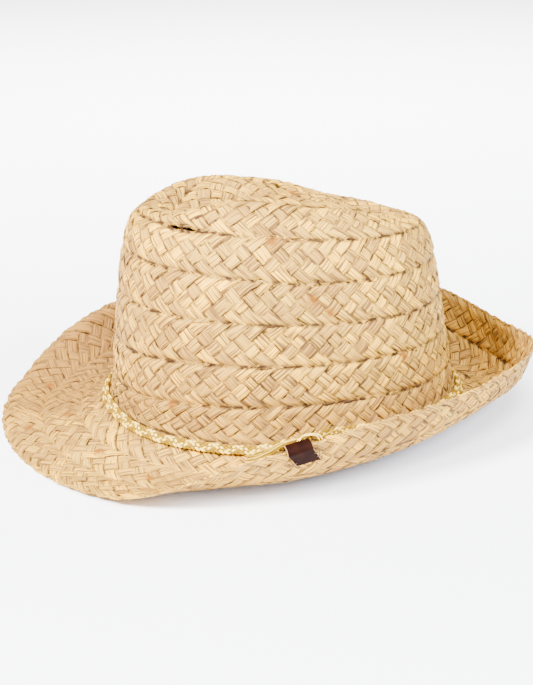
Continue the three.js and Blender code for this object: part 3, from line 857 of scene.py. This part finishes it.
cord_legs = int(cord_length[-1] / CORD_PITCH) - YARNS_LEFT_OFF
points, rising, numbers = plait(cord_legs)
maps = own_maps(yarn_places, len(numbers), YARN_MAP)
strand = np.mod(numbers, STRANDS) / STRANDS + random.uniform(0, STRAND_SPREAD, len(numbers))
yarn_side = np.broadcast_to(2 * np.abs(yarn_places[:, 1]), points.shape[:2])
cord_piece = joined_mesh("cord_braid", points * MM, yarn_faces, rising, maps,
                         {"tone": strand, "side": yarn_side})
print("cord_braid", len(numbers), "legs,", len(cord_piece.data.polygons), "faces")

# %% [markdown]
# ## The knot and the frayed threads
# The cord is closed by a small knot on the wearer's left, and both of its ends are frayed out into
# loose yellow and white threads. Each thread is a copy of one thin bar, bent along its own line.
# The threads could be hair, but so few are quicker and surer as real geometry.

# %% Bars bent along lines
THREAD_SIDES, THREAD_CUTS, THREAD_TIP = 6, 35, 0.4
THREAD_MAP, LINE_STEPS = (4.0, 0.5), 160
ASIDE = (0.31, 0.22, 0.93)  # a direction that no thread runs along

thread = long_ribbon("thread", THREAD_SIDES, THREAD_CUTS)
taper_ends(thread, BAR_END, THREAD_TIP, THREAD_TIP)
bpy.ops.object.mode_set(mode="OBJECT")
thread_places, thread_faces = as_arrays(thread)
put_away(thread)


def smooth_line(corners, steps=LINE_STEPS):
    """A soft line through a few points, by averaging over a moving window."""
    corners = np.asarray(corners, float)
    at = np.linspace(0, len(corners) - 1, steps)
    line = np.stack([np.interp(at, np.arange(len(corners)), corners[:, k]) for k in range(3)], -1)
    window = max(3, steps // (2 * len(corners)) * 2 + 1)
    kernel = np.hanning(window + 2)[1:-1]
    kernel /= kernel.sum()
    padded = np.pad(line, ((window // 2, window // 2), (0, 0)), mode="reflect", reflect_type="odd")
    return np.stack([np.convolve(padded[:, k], kernel, "valid") for k in range(3)], -1)


def bend_threads(name, lines, thicknesses, tones):
    """One mesh of threads, each along its own line in mm."""
    share = thread_places[:, 0] + 0.5
    all_points = []
    for line, thick in zip(lines, thicknesses):
        at = share * (len(line) - 1)
        i = np.minimum(at.astype(int), len(line) - 2)
        centre = line[i] + (line[i + 1] - line[i]) * (at - i)[:, None]
        forward = np.gradient(line, axis=0)
        forward /= np.linalg.norm(forward, axis=1, keepdims=True)
        forward = forward[np.round(at).astype(int)]
        across = np.cross(forward, ASIDE)
        across /= np.linalg.norm(across, axis=1, keepdims=True)
        over = np.cross(forward, across)
        section = across * thread_places[:, 1:2] + over * thread_places[:, 2:3]
        all_points.append(centre + thick * section)
    points = np.stack(all_points)
    maps = np.empty((*points.shape[:2], 2))
    maps[..., 0] = share[None] * THREAD_MAP[0]
    maps[..., 1] = thread_places[:, 1][None] * THREAD_MAP[1] + np.arange(len(points))[:, None]
    return joined_mesh(name, points * MM, thread_faces, np.ones(len(points), bool), maps,
                       {"tone": np.asarray(tones, float)})


def over_hat(rows):
    """Points over the hat for rows of angle, offset and height."""
    angle, offset, height = np.array(rows, float).T[:3]
    return over_wall(angle, offset, height)[0]


# %% The knot
KNOT_SIZE = (9.0, 7.5, 6.0)
KNOT_CLEAR, KNOT_YARN = 0.9, 2.1
KNOT_LOOPS = (
    # where the yarn starts in radians, its share of the knot's size, tone
    (0.0, 1.0, 0.1), (0.5, 0.8, 0.9), (2.6, 0.62, 0.5),
)

knot_offset = through(CORD_OFFSET, np.array([KNOT_ANGLE]))
knot_centre, knot_up, knot_outward = over_wall(np.array([KNOT_ANGLE]), knot_offset,
                                               np.array([KNOT_CLEAR + KNOT_SIZE[2] / 2]))
knot_along = np.cross(knot_up, knot_outward)


def knot_line(turned, squeeze):
    """A trefoil: the line of a yarn that passes over and under itself three times."""
    t = np.linspace(0, 2 * np.pi, LINE_STEPS) + turned
    x = (np.sin(t) + 2 * np.sin(2 * t)) / 3
    y = (np.cos(t) - 2 * np.cos(2 * t)) / 3
    z = -np.sin(3 * t)
    room = (np.array(KNOT_SIZE) - KNOT_YARN) / 2 * squeeze
    return (knot_centre + knot_along * (x * room[0])[:, None] + knot_up * (y * room[1])[:, None]
            + knot_outward * (z * room[2])[:, None])


knot_lines = [knot_line(start, squeeze) for start, squeeze, tone in KNOT_LOOPS]
knot_piece = bend_threads("knot_yarn", knot_lines, [KNOT_YARN] * len(KNOT_LOOPS),
                          [tone for start, squeeze, tone in KNOT_LOOPS])
print("knot:", len(knot_lines), "yarns,", len(knot_piece.data.polygons), "faces")

# %% Frayed ends and loops of thread
FRAYED_FRONT = (
    # angle, mm up the straw, mm over it, half width of the bundle
    (71.0, 1.5, 3.6, 1.0), (69.0, 0.5, 5.2, 1.6), (65.5, -4.0, 5.4, 2.0), (61.5, -9.0, 4.2, 2.6),
    (57.5, -12.0, 2.0, 2.9), (53.5, -13.5, 1.3, 3.2),
)
FRAYED_BACK = (
    (75.0, -3.5, 2.6, 1.0), (77.0, -7.0, 2.5, 1.3), (80.0, -9.5, 2.2, 1.7), (83.5, -12.5, 1.9, 2.2),
    (87.0, -15.0, 1.5, 2.6),
)
LOOPS = (
    # lines of angle, mm up the straw and mm over it: two white loops, then four short threads
    ((70.2, -8.0, 6.0), (70.8, 0.5, 7.0), (72.4, 6.5, 7.4), (75.0, 7.0, 7.4), (77.4, 4.5, 7.0),
     (78.4, -3.5, 6.0)),
    ((69.4, -9.0, 5.4), (70.0, -1.0, 6.6), (71.6, 4.6, 7.6), (74.4, 5.6, 7.8), (76.6, 3.0, 7.0),
     (77.4, -4.5, 5.6)),
    ((75.0, 1.0, 5.0), (77.5, 6.0, 5.6), (80.0, 9.5, 4.6), (82.5, 11.5, 3.4)),
    ((76.0, 0.0, 5.0), (79.5, 4.0, 5.4), (83.0, 7.5, 4.6), (87.5, 9.0, 3.0)),
    ((74.5, 2.0, 5.2), (76.8, 7.5, 5.6), (79.0, 11.0, 4.4), (80.0, 12.5, 3.2)),
    ((76.5, -1.0, 5.0), (80.5, 2.0, 5.2), (84.5, 4.5, 4.4), (90.0, 5.5, 3.0)),
)
LOOP_THICK = (0.95, 0.8, 0.6, 0.6, 0.5, 0.6)
LOOP_TONES = (0.99, 0.95, 0.1, 0.55, 0.3, 0.2)
THREAD_COUNT = {"front": 22, "back": 14}
THREAD_THICK = {"front": (0.35, 0.65), "back": (0.4, 0.75)}
# Where a thread lies, from and to: sideways as a share of the bundle's half width, and up as a
# share of LIFT.
BUNDLE_FROM, BUNDLE_TO = (-1, -0.6), (1, 1.0)
# How far it wanders, as a share of the half width, how many mm higher it can lie, and how much
# shorter it can be, in steps of its table.
WANDER, LIFT, SHORTER = 0.25, 0.8, 0.6


def bundle_lines(rows, count):
    """Threads of uneven length that spread out more and more along a bundle."""
    angle, offset, height, half = np.array(rows, float).T
    lines = []
    for spread, lift in random.uniform(BUNDLE_FROM, BUNDLE_TO, (count, 2)):
        end = len(rows) - 1 - random.uniform(0.0, SHORTER)
        wander = random.normal(0, WANDER, len(rows)) * half
        beside = offset + spread * half + wander
        line = smooth_line(over_hat(np.stack([angle, beside, height + lift * LIFT], -1)))
        lines.append(line[:int(len(line) * end / (len(rows) - 1))])
    return lines


def frayed_end(end, lines):
    """One frayed end of the cord, its threads of different thickness and tone."""
    thick = random.uniform(*THREAD_THICK[end], len(lines))
    return bend_threads(f"frayed_threads_{end}", lines, thick, random.uniform(0, 1, len(lines)))


front_lines = bundle_lines(FRAYED_FRONT, THREAD_COUNT["front"])
back_lines = bundle_lines(FRAYED_BACK, THREAD_COUNT["back"])
front_piece = frayed_end("front", front_lines)
back_piece = frayed_end("back", back_lines)
loop_lines = [smooth_line(over_hat(loop)) for loop in LOOPS]
loop_piece = bend_threads("white_thread_loops", loop_lines, LOOP_THICK, LOOP_TONES)
print("threads:", len(front_lines) + len(back_lines) + len(loop_lines))

# %% [markdown]
# ## The leather tab
# A short strip of dark red-brown leather is folded over the edge of the brim and stitched down at
# its sides. It could be cut out of a thickened copy of the brim, but leather doesn't follow every
# bump of the straw. Here it starts as a flat strip with rounded edges, which is then bent round the
# edge, so that its thickness and its paler cut edges stay even through the fold.

# %% Cut and fold the tab
TAB_ANGLE, TAB_LEAN, TAB_WIDTH, TAB_LENGTH = 66.2, 2.2, 14.0, 10.5
TAB_LEATHER, TAB_CLEAR, TAB_ROUND, TAB_ROUND_CUTS = 1.4, 0.9, 0.35, 2
TAB_GRID, TAB_SMOOTH, ROW_STEP = (52, 12), 40, 0.05
# The fold is half an oval: how far it goes past the brim's edge, and half its height.
FOLD_OUT, FOLD_HALF = TAB_CLEAR + TAB_LEATHER / 2, WALL / 2 + TAB_CLEAR + TAB_LEATHER / 2
FOLD_ARC = math.pi / 2 * math.sqrt((FOLD_OUT ** 2 + FOLD_HALF ** 2) / 2)

start_fresh()
bpy.ops.mesh.primitive_grid_add(x_subdivisions=TAB_GRID[0], y_subdivisions=TAB_GRID[1], size=1)
tab = bpy.context.object
tab.name = "tab_leather"
tab.scale = (2 * (TAB_LENGTH + FOLD_ARC), TAB_WIDTH, 1)
bpy.ops.object.transform_apply(location=True, rotation=True, scale=True)
thickness = tab.modifiers.new("thickness", "SOLIDIFY")
thickness.thickness, thickness.offset = TAB_LEATHER, 0
rounding = tab.modifiers.new("rounding", "BEVEL")
rounding.width, rounding.segments = TAB_ROUND, TAB_ROUND_CUTS
for modifier in ("thickness", "rounding"):
    bpy.ops.object.modifier_apply(modifier=modifier)
flat_tab = np.array([v.co for v in tab.data.vertices], float)


def brim_edge_radius(angle):
    """How far the brim's edge is from the middle of the head opening."""
    edge = on_net(net, np.array([angle]), np.array([-float(BRIM_ROWS)]))[0] - shift
    return math.hypot(edge[0], edge[1])


def on_tab(along, sideways, height):
    """Points of the folded strip, for mm along it from the fold, across it and out of it."""
    bend = np.clip(along / FOLD_ARC, -1, 1) * np.pi / 2
    inward = np.maximum(np.abs(along) - FOLD_ARC, 0)
    out = np.stack([np.cos(bend) / FOLD_OUT, np.sin(bend) / FOLD_HALF], -1)
    out /= np.linalg.norm(out, axis=-1, keepdims=True)
    beyond = FOLD_OUT * np.cos(bend) + out[..., 0] * height
    off = FOLD_HALF * np.sin(bend) + out[..., 1] * height
    angle = TAB_ANGLE + np.degrees(sideways / brim_edge_radius(TAB_ANGLE))
    angle = angle + TAB_LEAN * inward / TAB_LENGTH
    row = inward * BRIM_ROWS / through(BRIM_WIDTH, turned_from(angle, 0)) - BRIM_ROWS
    up = on_net(net, angle, row + ROW_STEP) - on_net(net, angle, row)
    up /= np.linalg.norm(up, axis=-1, keepdims=True)
    outward = on_net(net_normal, angle, row)
    return on_net(net, angle, row) + outward * off[..., None] - up * beyond[..., None]


folded = on_tab(*flat_tab.T) * MM
tab.data.vertices.foreach_set("co", folded.astype(np.float32).ravel())
tab.data.update()
cut_edge = tab.data.attributes.new("cut", "FLOAT", "POINT")
cut_share = np.clip((np.abs(flat_tab[:, 1]) - TAB_WIDTH / 2 + TAB_ROUND) / TAB_ROUND, 0, 1)
cut_edge.data.foreach_set("value", cut_share.astype(np.float32))
bpy.ops.object.shade_smooth_by_angle(angle=math.radians(TAB_SMOOTH))
print("tab:", len(tab.data.polygons), "faces")

# %% Stitches at the sides of the tab
STITCHES = (
    # mm along the strip from the fold, side of the strip
    (-7.0, 1), (-10.5, 1), (-14.0, 1), (-15.0, -1), (-11.0, -1), (7.5, 1), (11.5, 1), (12.0, -1),
)
STITCH_THICK, STITCH_LEAN, STITCH_STEPS, STITCH_TONE = 0.5, 0.9, 60, 0.5
STITCH_PATH = (
    # mm beyond the edge of the leather, mm out from its middle, share of the stitch's lean
    (-1.2, 0.2, -0.5), (-0.6, 1.1, -0.2), (0.5, 0.9, 0.2), (2.2, -TAB_LEATHER - 0.4, 0.6),
)


def stitch_line(along, side):
    """Rises from the leather near its edge, steps over it and down into the straw beside it."""
    beyond, height, slant = np.array(STITCH_PATH).T
    across = side * (TAB_WIDTH / 2 + beyond)
    return smooth_line(on_tab(along + STITCH_LEAN * slant, across, height), STITCH_STEPS)


stitch_lines = [stitch_line(along, side) for along, side in STITCHES]
stitch_piece = bend_threads("tab_stitches", stitch_lines, [STITCH_THICK] * len(STITCHES),
                            [STITCH_TONE] * len(STITCHES))
print("stitches:", len(stitch_lines))

# %% [markdown]
# ## Loose fibres
# Raffia splits, so hair-thin fibres stand off the braid here and there, mostly at the seams. They
# are few, short and thin: seen from afar they only soften the outline a little. They could be hair
# strands, but hair is no mesh and is lost in an export, so each is a bent copy of the thin bar.

# %% Loose fibres
FIBRE_COUNT, FIBRE_THICK, FIBRE_POINTS = 150, (0.14, 0.28), 40
FIBRE_RUN, FIBRE_RISE = (4.0, 11.0), (0.6, 2.6)
BARE_ENDS = 200  # mm of braid without fibres at both of its ends
SEAM_PLACES, SEAM_SPREAD = (0.04, 0.96), 0.12
TURN_SPREAD, CLIMB_SPREAD = 1, 0.5  # more of a fibre runs along the braid than up the hat
MM_PER_DEGREE, MM_PER_ROW = 1.7, 22
# Places along a fibre, and how late it swings up the hat and bows off it.
FIBRE_STEPS, FIBRE_SWING, FIBRE_BOW = np.array([0, 0.35, 0.7, 1.0]), 1.5, 1.3
FIBRE_FOOT, FIBRE_LOWEST, TIP_ROWS = 0.7, 0.4, 0.5

fibre_lines = []
for place in random.uniform(BARE_ENDS, spiral_length[-1] - BARE_ENDS, FIBRE_COUNT):
    angle = np.interp(place, spiral_length, spiral_angle)
    low = np.interp(place, spiral_length, spiral_low)
    row = low + np.clip(random.choice(SEAM_PLACES) + random.normal(0, SEAM_SPREAD), 0.0, 1.0)
    run, rise = random.uniform(*FIBRE_RUN), random.uniform(*FIBRE_RISE)
    turn, climb = random.normal(0, TURN_SPREAD), random.normal(0, CLIMB_SPREAD)
    size = math.hypot(turn, climb)
    angles = angle + run / size * turn / MM_PER_DEGREE * FIBRE_STEPS
    rows = row + run / size * climb / MM_PER_ROW * FIBRE_STEPS ** FIBRE_SWING
    rows = np.clip(rows, -BRIM_ROWS, CROWN_ROWS - TIP_ROWS)
    heights = FIBRE_FOOT + rise * FIBRE_STEPS ** FIBRE_BOW
    points = on_net(net, angles, rows) + on_net(net_normal, angles, rows) * heights[:, None]
    points[:, 2] = np.maximum(points[:, 2], FIBRE_LOWEST)
    fibre_lines.append(smooth_line(points, FIBRE_POINTS))
fibre_piece = bend_threads("loose_fibres", fibre_lines, random.uniform(*FIBRE_THICK, FIBRE_COUNT),
                           random.uniform(0, 1, FIBRE_COUNT))
print("loose fibres:", len(fibre_piece.data.polygons), "faces")

# %% [markdown]
# ## What each piece stands for
# The imported hat has a plain solid for each of its parts. A finished piece is attached to the body
# it moves with, and the solid that it takes the place of is hidden. A piece that only adds to
# another one, such as the stitches, takes no solid's place. The solids could be left in under the
# braid, but they would show through its gaps.

# %% What each piece stands for in the imported hat
PIECES = (
    # piece, slot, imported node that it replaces
    (cord_piece, "cord", "hat_cord"), (knot_piece, "cord", "cord_knot"),
    (front_piece, "cord", "frayed_end_front"), (back_piece, "cord", "frayed_end_back"),
    (loop_piece, "cord", None), (tab, "tab_leather", "leather_tab"),
    (stitch_piece, "tab_leather", None), (fibre_piece, "brim_straw", None),
)
for piece, slot, node in PIECES:
    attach(piece, "root")
    if node:
        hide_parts(node)

# %% [markdown]
# ## Straw colour
# Dry raffia is golden yellow with a soft sheen. Every leg has its own tone, and fibres run along it
# as fine streaks and grooves. Light doesn't reach in between the legs, so their sides are painted
# dark as shade, and here and there so is a thin line at a seam. Over that lie the tan places, whose
# colour also paints shade on the brim, and the orange-brown ends. A picture of straw could be laid
# over the hat, but it would be stretched at the crown. The streaks use the UV map, which runs along
# each leg, so that they follow the straw as it bends.

# %% Nodes used by the materials
def add_node(tree, kind, **settings):
    """A new node with its settings, such as noise_dimensions="2D"."""
    node = tree.nodes.new(kind)
    for key, value in settings.items():
        setattr(node, key, value)
    return node


def mix_color(tree, factor, first, second, blend="MIX"):
    """The first colour with the second over it. Each can be a socket or a fixed value."""
    node = add_node(tree, "ShaderNodeMix", data_type="RGBA", blend_type=blend)
    for socket, value in (("Factor", factor), ("A", first), ("B", second)):
        inputs = [s for s in node.inputs if s.name == socket and s.enabled]
        target = inputs[-1]
        if isinstance(value, bpy.types.NodeSocket):
            tree.links.new(value, target)
        elif socket == "Factor":
            target.default_value = value
        else:
            target.default_value = (*value, 1)
    return [s for s in node.outputs if s.enabled][0]


def ramp(tree, source, stops):
    """Turns a value into a colour, by stops of position and colour."""
    node = add_node(tree, "ShaderNodeValToRGB")
    elements = node.color_ramp.elements
    elements[0].position, elements[1].position = stops[0][0], stops[-1][0]
    elements[0].color, elements[1].color = (*stops[0][1], 1), (*stops[-1][1], 1)
    for position, color in stops[1:-1]:
        elements.new(position).color = (*color, 1)
    tree.links.new(source, node.inputs["Fac"])
    return node.outputs["Color"]


def grey_ramp(tree, source, stops):
    """Turns a value into another one, by stops of position and value."""
    return ramp(tree, source, [(position, (grey, grey, grey)) for position, grey in stops])


def streaks(tree, scale, along, detail):
    """Noise drawn out along the straw."""
    map_node = add_node(tree, "ShaderNodeUVMap", uv_map=STREAK_MAP)
    place = add_node(tree, "ShaderNodeMapping")
    place.inputs["Scale"].default_value = (along, 1, 1)
    noise = add_node(tree, "ShaderNodeTexNoise", noise_dimensions="2D")
    noise.inputs["Scale"].default_value = scale
    noise.inputs["Detail"].default_value = detail
    tree.links.new(map_node.outputs["UV"], place.inputs["Vector"])
    tree.links.new(place.outputs["Vector"], noise.inputs["Vector"])
    return noise.outputs["Fac"]


def cloud(tree, scale, detail):
    """Soft noise over the whole hat."""
    place = add_node(tree, "ShaderNodeTexCoord").outputs["Object"]
    noise = add_node(tree, "ShaderNodeTexNoise")
    noise.inputs["Scale"].default_value = scale
    noise.inputs["Detail"].default_value = detail
    tree.links.new(place, noise.inputs["Vector"])
    return noise.outputs["Fac"]


def attribute(tree, name):
    """One of the values that were stored on the mesh."""
    return add_node(tree, "ShaderNodeAttribute", attribute_name=name).outputs["Fac"]


def finish_surface(material, color, specular, height, strength, distance):
    """Links a colour and the height of a bump to a material, and sets how much it reflects."""
    tree = material.node_tree
    shader = tree.nodes["Principled BSDF"]
    tree.links.new(color, shader.inputs["Base Color"])
    shader.inputs["Specular IOR Level"].default_value = specular
    bump = add_node(tree, "ShaderNodeBump")
    bump.inputs["Strength"].default_value = strength
    bump.inputs["Distance"].default_value = distance
    tree.links.new(height, bump.inputs["Height"])
    tree.links.new(bump.outputs["Normal"], shader.inputs["Normal"])


# %% Straw material
STRAW_BODY, STRAW_ROUGH, STRAW_SPECULAR = (0.88, 0.56, 0.14), 0.6, 0.1
STRAW_TONES = (
    (0.0, (0.38, 0.185, 0.03)), (0.08, (0.48, 0.255, 0.036)), (0.5, (0.66, 0.355, 0.04)),
    (0.9, (0.96, 0.49, 0.025)), (1.0, (0.56, 0.34, 0.05)),
)
# The fibres' dark brown, and the painted shade at the sides of the legs and along the seams.
STRAW_FIBRE, STRAW_PAINTED_SHADE = (0.16, 0.074, 0.018), (0.04, 0.016, 0.005)
# The tan of the straw and its stains, also used as painted shade on the brim, and orange-brown
# flecks.
STRAW_TAN_AND_SHADE, STRAW_FLECK = (0.315, 0.151, 0.027), (0.21, 0.066, 0.002)
STRAW_BUMP = (1.0, 0.0009)  # strength, and depth in metres
STRAW_STREAKS = (9.0, 0.06, 3.0)  # scale, stretch along the straw, detail
STAIN_NOISE, SIDE_SHADE_NOISE, SEAM_SHADE_NOISE = (14, 3), (210, 2), (150, 2)  # scale, detail
# The ramps have stops of position and value.
STAIN_RAMP = ((0.5, 0), (0.72, 0.5))
FIBRE_RAMP = ((0.36, 1), (0.43, 0.7), (0.49, 0.22), (0.58, 0))
SIDE_SHADE_RAMP = ((0.45, 0), (0.68, 0.35), (0.86, 1))
SIDE_SHADE_PATCHES = ((0.38, 0.25), (0.62, 1))
SEAM_SHADE_RAMP = ((0.0, 1), (0.035, 0.6), (0.08, 0), (0.92, 0), (0.965, 0.6), (1.0, 1))
SEAM_SHADE_PATCHES = ((0.42, 0), (0.56, 1))


def straw_material(name):
    """Golden legs with streaks, painted shade at sides, seams and brim, tan, orange-brown flecks."""
    material = plain_material(name, STRAW_BODY, STRAW_ROUGH)
    tree = material.node_tree
    leg_color = ramp(tree, attribute(tree, "tone"), STRAW_TONES)
    fine = streaks(tree, *STRAW_STREAKS)
    # The tan colour gives the straw's own tan, and painted shade on the brim.
    tanned_and_shaded = mix_color(tree, attribute(tree, "tan_and_shade"), leg_color, STRAW_TAN_AND_SHADE)
    stain = grey_ramp(tree, cloud(tree, *STAIN_NOISE), STAIN_RAMP)
    stained = mix_color(tree, stain, tanned_and_shaded, STRAW_TAN_AND_SHADE)
    shaded = mix_color(tree, grey_ramp(tree, fine, FIBRE_RAMP), stained, STRAW_FIBRE)
    # Painted shade at the sides of the legs, in patches, then painted shade along the seams.
    side = grey_ramp(tree, attribute(tree, "side"), SIDE_SHADE_RAMP)
    side_shade_patches = grey_ramp(tree, cloud(tree, *SIDE_SHADE_NOISE), SIDE_SHADE_PATCHES)
    side = mix_color(tree, 1.0, side, side_shade_patches, "MULTIPLY")
    side_shaded = mix_color(tree, side, shaded, STRAW_PAINTED_SHADE)
    seam = grey_ramp(tree, attribute(tree, "seam"), SEAM_SHADE_RAMP)
    seam_shade_patches = grey_ramp(tree, cloud(tree, *SEAM_SHADE_NOISE), SEAM_SHADE_PATCHES)
    seam = mix_color(tree, 1.0, seam, seam_shade_patches, "MULTIPLY")
    seam_shaded = mix_color(tree, seam, side_shaded, STRAW_PAINTED_SHADE)
    flecked = mix_color(tree, attribute(tree, "fleck"), seam_shaded, STRAW_FLECK)
    finish_surface(material, flecked, STRAW_SPECULAR, fine, *STRAW_BUMP)
    return material


straw = straw_material("raffia_straw")
for piece in braid_pieces:
    piece.data.materials.append(straw)
print("straw:", len(straw.node_tree.nodes), "nodes on", len(braid_pieces), "pieces")

# %% [markdown]
# ## Cotton and leather
# The cotton yarn is matt, and its strands go from straw yellow to cream white, with a fine twist
# along each of them and dark sides where they meet. The leather is dark and nearly matt, with a
# fine grain, worn patches and pale cut edges. A plain colour would do from afar, but both are small
# pieces that are looked at closely.

# %% Cotton
COTTON_TONES = (
    (0.0, (0.28, 0.155, 0.002)), (0.35, (0.24, 0.125, 0.001)), (0.5, (0.33, 0.19, 0.004)),
    (0.62, (0.90, 0.58, 0.06)), (1.0, (0.98, 0.70, 0.16)),
)
COTTON_BODY, COTTON_SHADE = (0.33, 0.19, 0.004), (0.10, 0.048, 0.002)
COTTON_ROUGH, COTTON_SPECULAR, COTTON_BUMP = 0.85, 0.06, (0.6, 0.0003)
TWIST_STREAKS = (10.0, 0.5, 2.0)
TWIST_RAMP = ((0.36, (0.5, 0.42, 0.2)), (0.5, (1, 1, 1)))
YARN_SIDE_RAMP = ((0.55, 0), (0.95, 1))


def cotton_material(name):
    """Yellow and cream strands with the grooves of their twist."""
    material = plain_material(name, COTTON_BODY, COTTON_ROUGH)
    tree = material.node_tree
    strand_color = ramp(tree, attribute(tree, "tone"), COTTON_TONES)
    twist = streaks(tree, *TWIST_STREAKS)
    grooves = ramp(tree, twist, TWIST_RAMP)
    grooved = mix_color(tree, 1.0, strand_color, grooves, "MULTIPLY")
    side = grey_ramp(tree, attribute(tree, "side"), YARN_SIDE_RAMP)
    shaded = mix_color(tree, side, grooved, COTTON_SHADE)
    finish_surface(material, shaded, COTTON_SPECULAR, twist, *COTTON_BUMP)
    return material


cotton = cotton_material("cotton_yarn")
cotton_pieces = (cord_piece, knot_piece, front_piece, back_piece, loop_piece)
for piece in cotton_pieces:
    piece.data.materials.append(cotton)
print("cotton:", len(cotton.node_tree.nodes), "nodes on", len(cotton_pieces), "pieces")

# %% Leather, dark thread and pale fibre
LEATHER, LEATHER_WORN = (0.007, 0.0012, 0.0004), (0.014, 0.003, 0.001)
LEATHER_CUT = (0.40, 0.22, 0.09)
LEATHER_ROUGH, LEATHER_SPECULAR, LEATHER_BUMP = 0.6, 0.03, (0.35, 0.0003)
GRAIN_NOISE, WORN_NOISE = (900, 3), (160, 3)
WORN_RAMP, CUT_RAMP = ((0.42, 0), (0.68, 0.8)), ((0.3, 0), (0.9, 1))
THREAD_COLOR, THREAD_ROUGH = (0.06, 0.025, 0.01), 0.7
FIBRE_COLOR, FIBRE_ROUGH = (0.5, 0.27, 0.04), 0.6


def leather_material(name):
    """Dark leather with worn patches and pale cut edges."""
    material = plain_material(name, LEATHER, LEATHER_ROUGH)
    tree = material.node_tree
    grain = cloud(tree, *GRAIN_NOISE)
    worn = grey_ramp(tree, cloud(tree, *WORN_NOISE), WORN_RAMP)
    body = mix_color(tree, worn, LEATHER, LEATHER_WORN)
    cut = grey_ramp(tree, attribute(tree, "cut"), CUT_RAMP)
    with_edges = mix_color(tree, cut, body, LEATHER_CUT)
    finish_surface(material, with_edges, LEATHER_SPECULAR, grain, *LEATHER_BUMP)
    return material


tab.data.materials.append(leather_material("dark_leather"))
stitch_piece.data.materials.append(plain_material("dark_thread", THREAD_COLOR, THREAD_ROUGH))
fibre_piece.data.materials.append(plain_material("pale_fibre", FIBRE_COLOR, FIBRE_ROUGH))
print("tab:", [slot.material.name for slot in tab.material_slots])
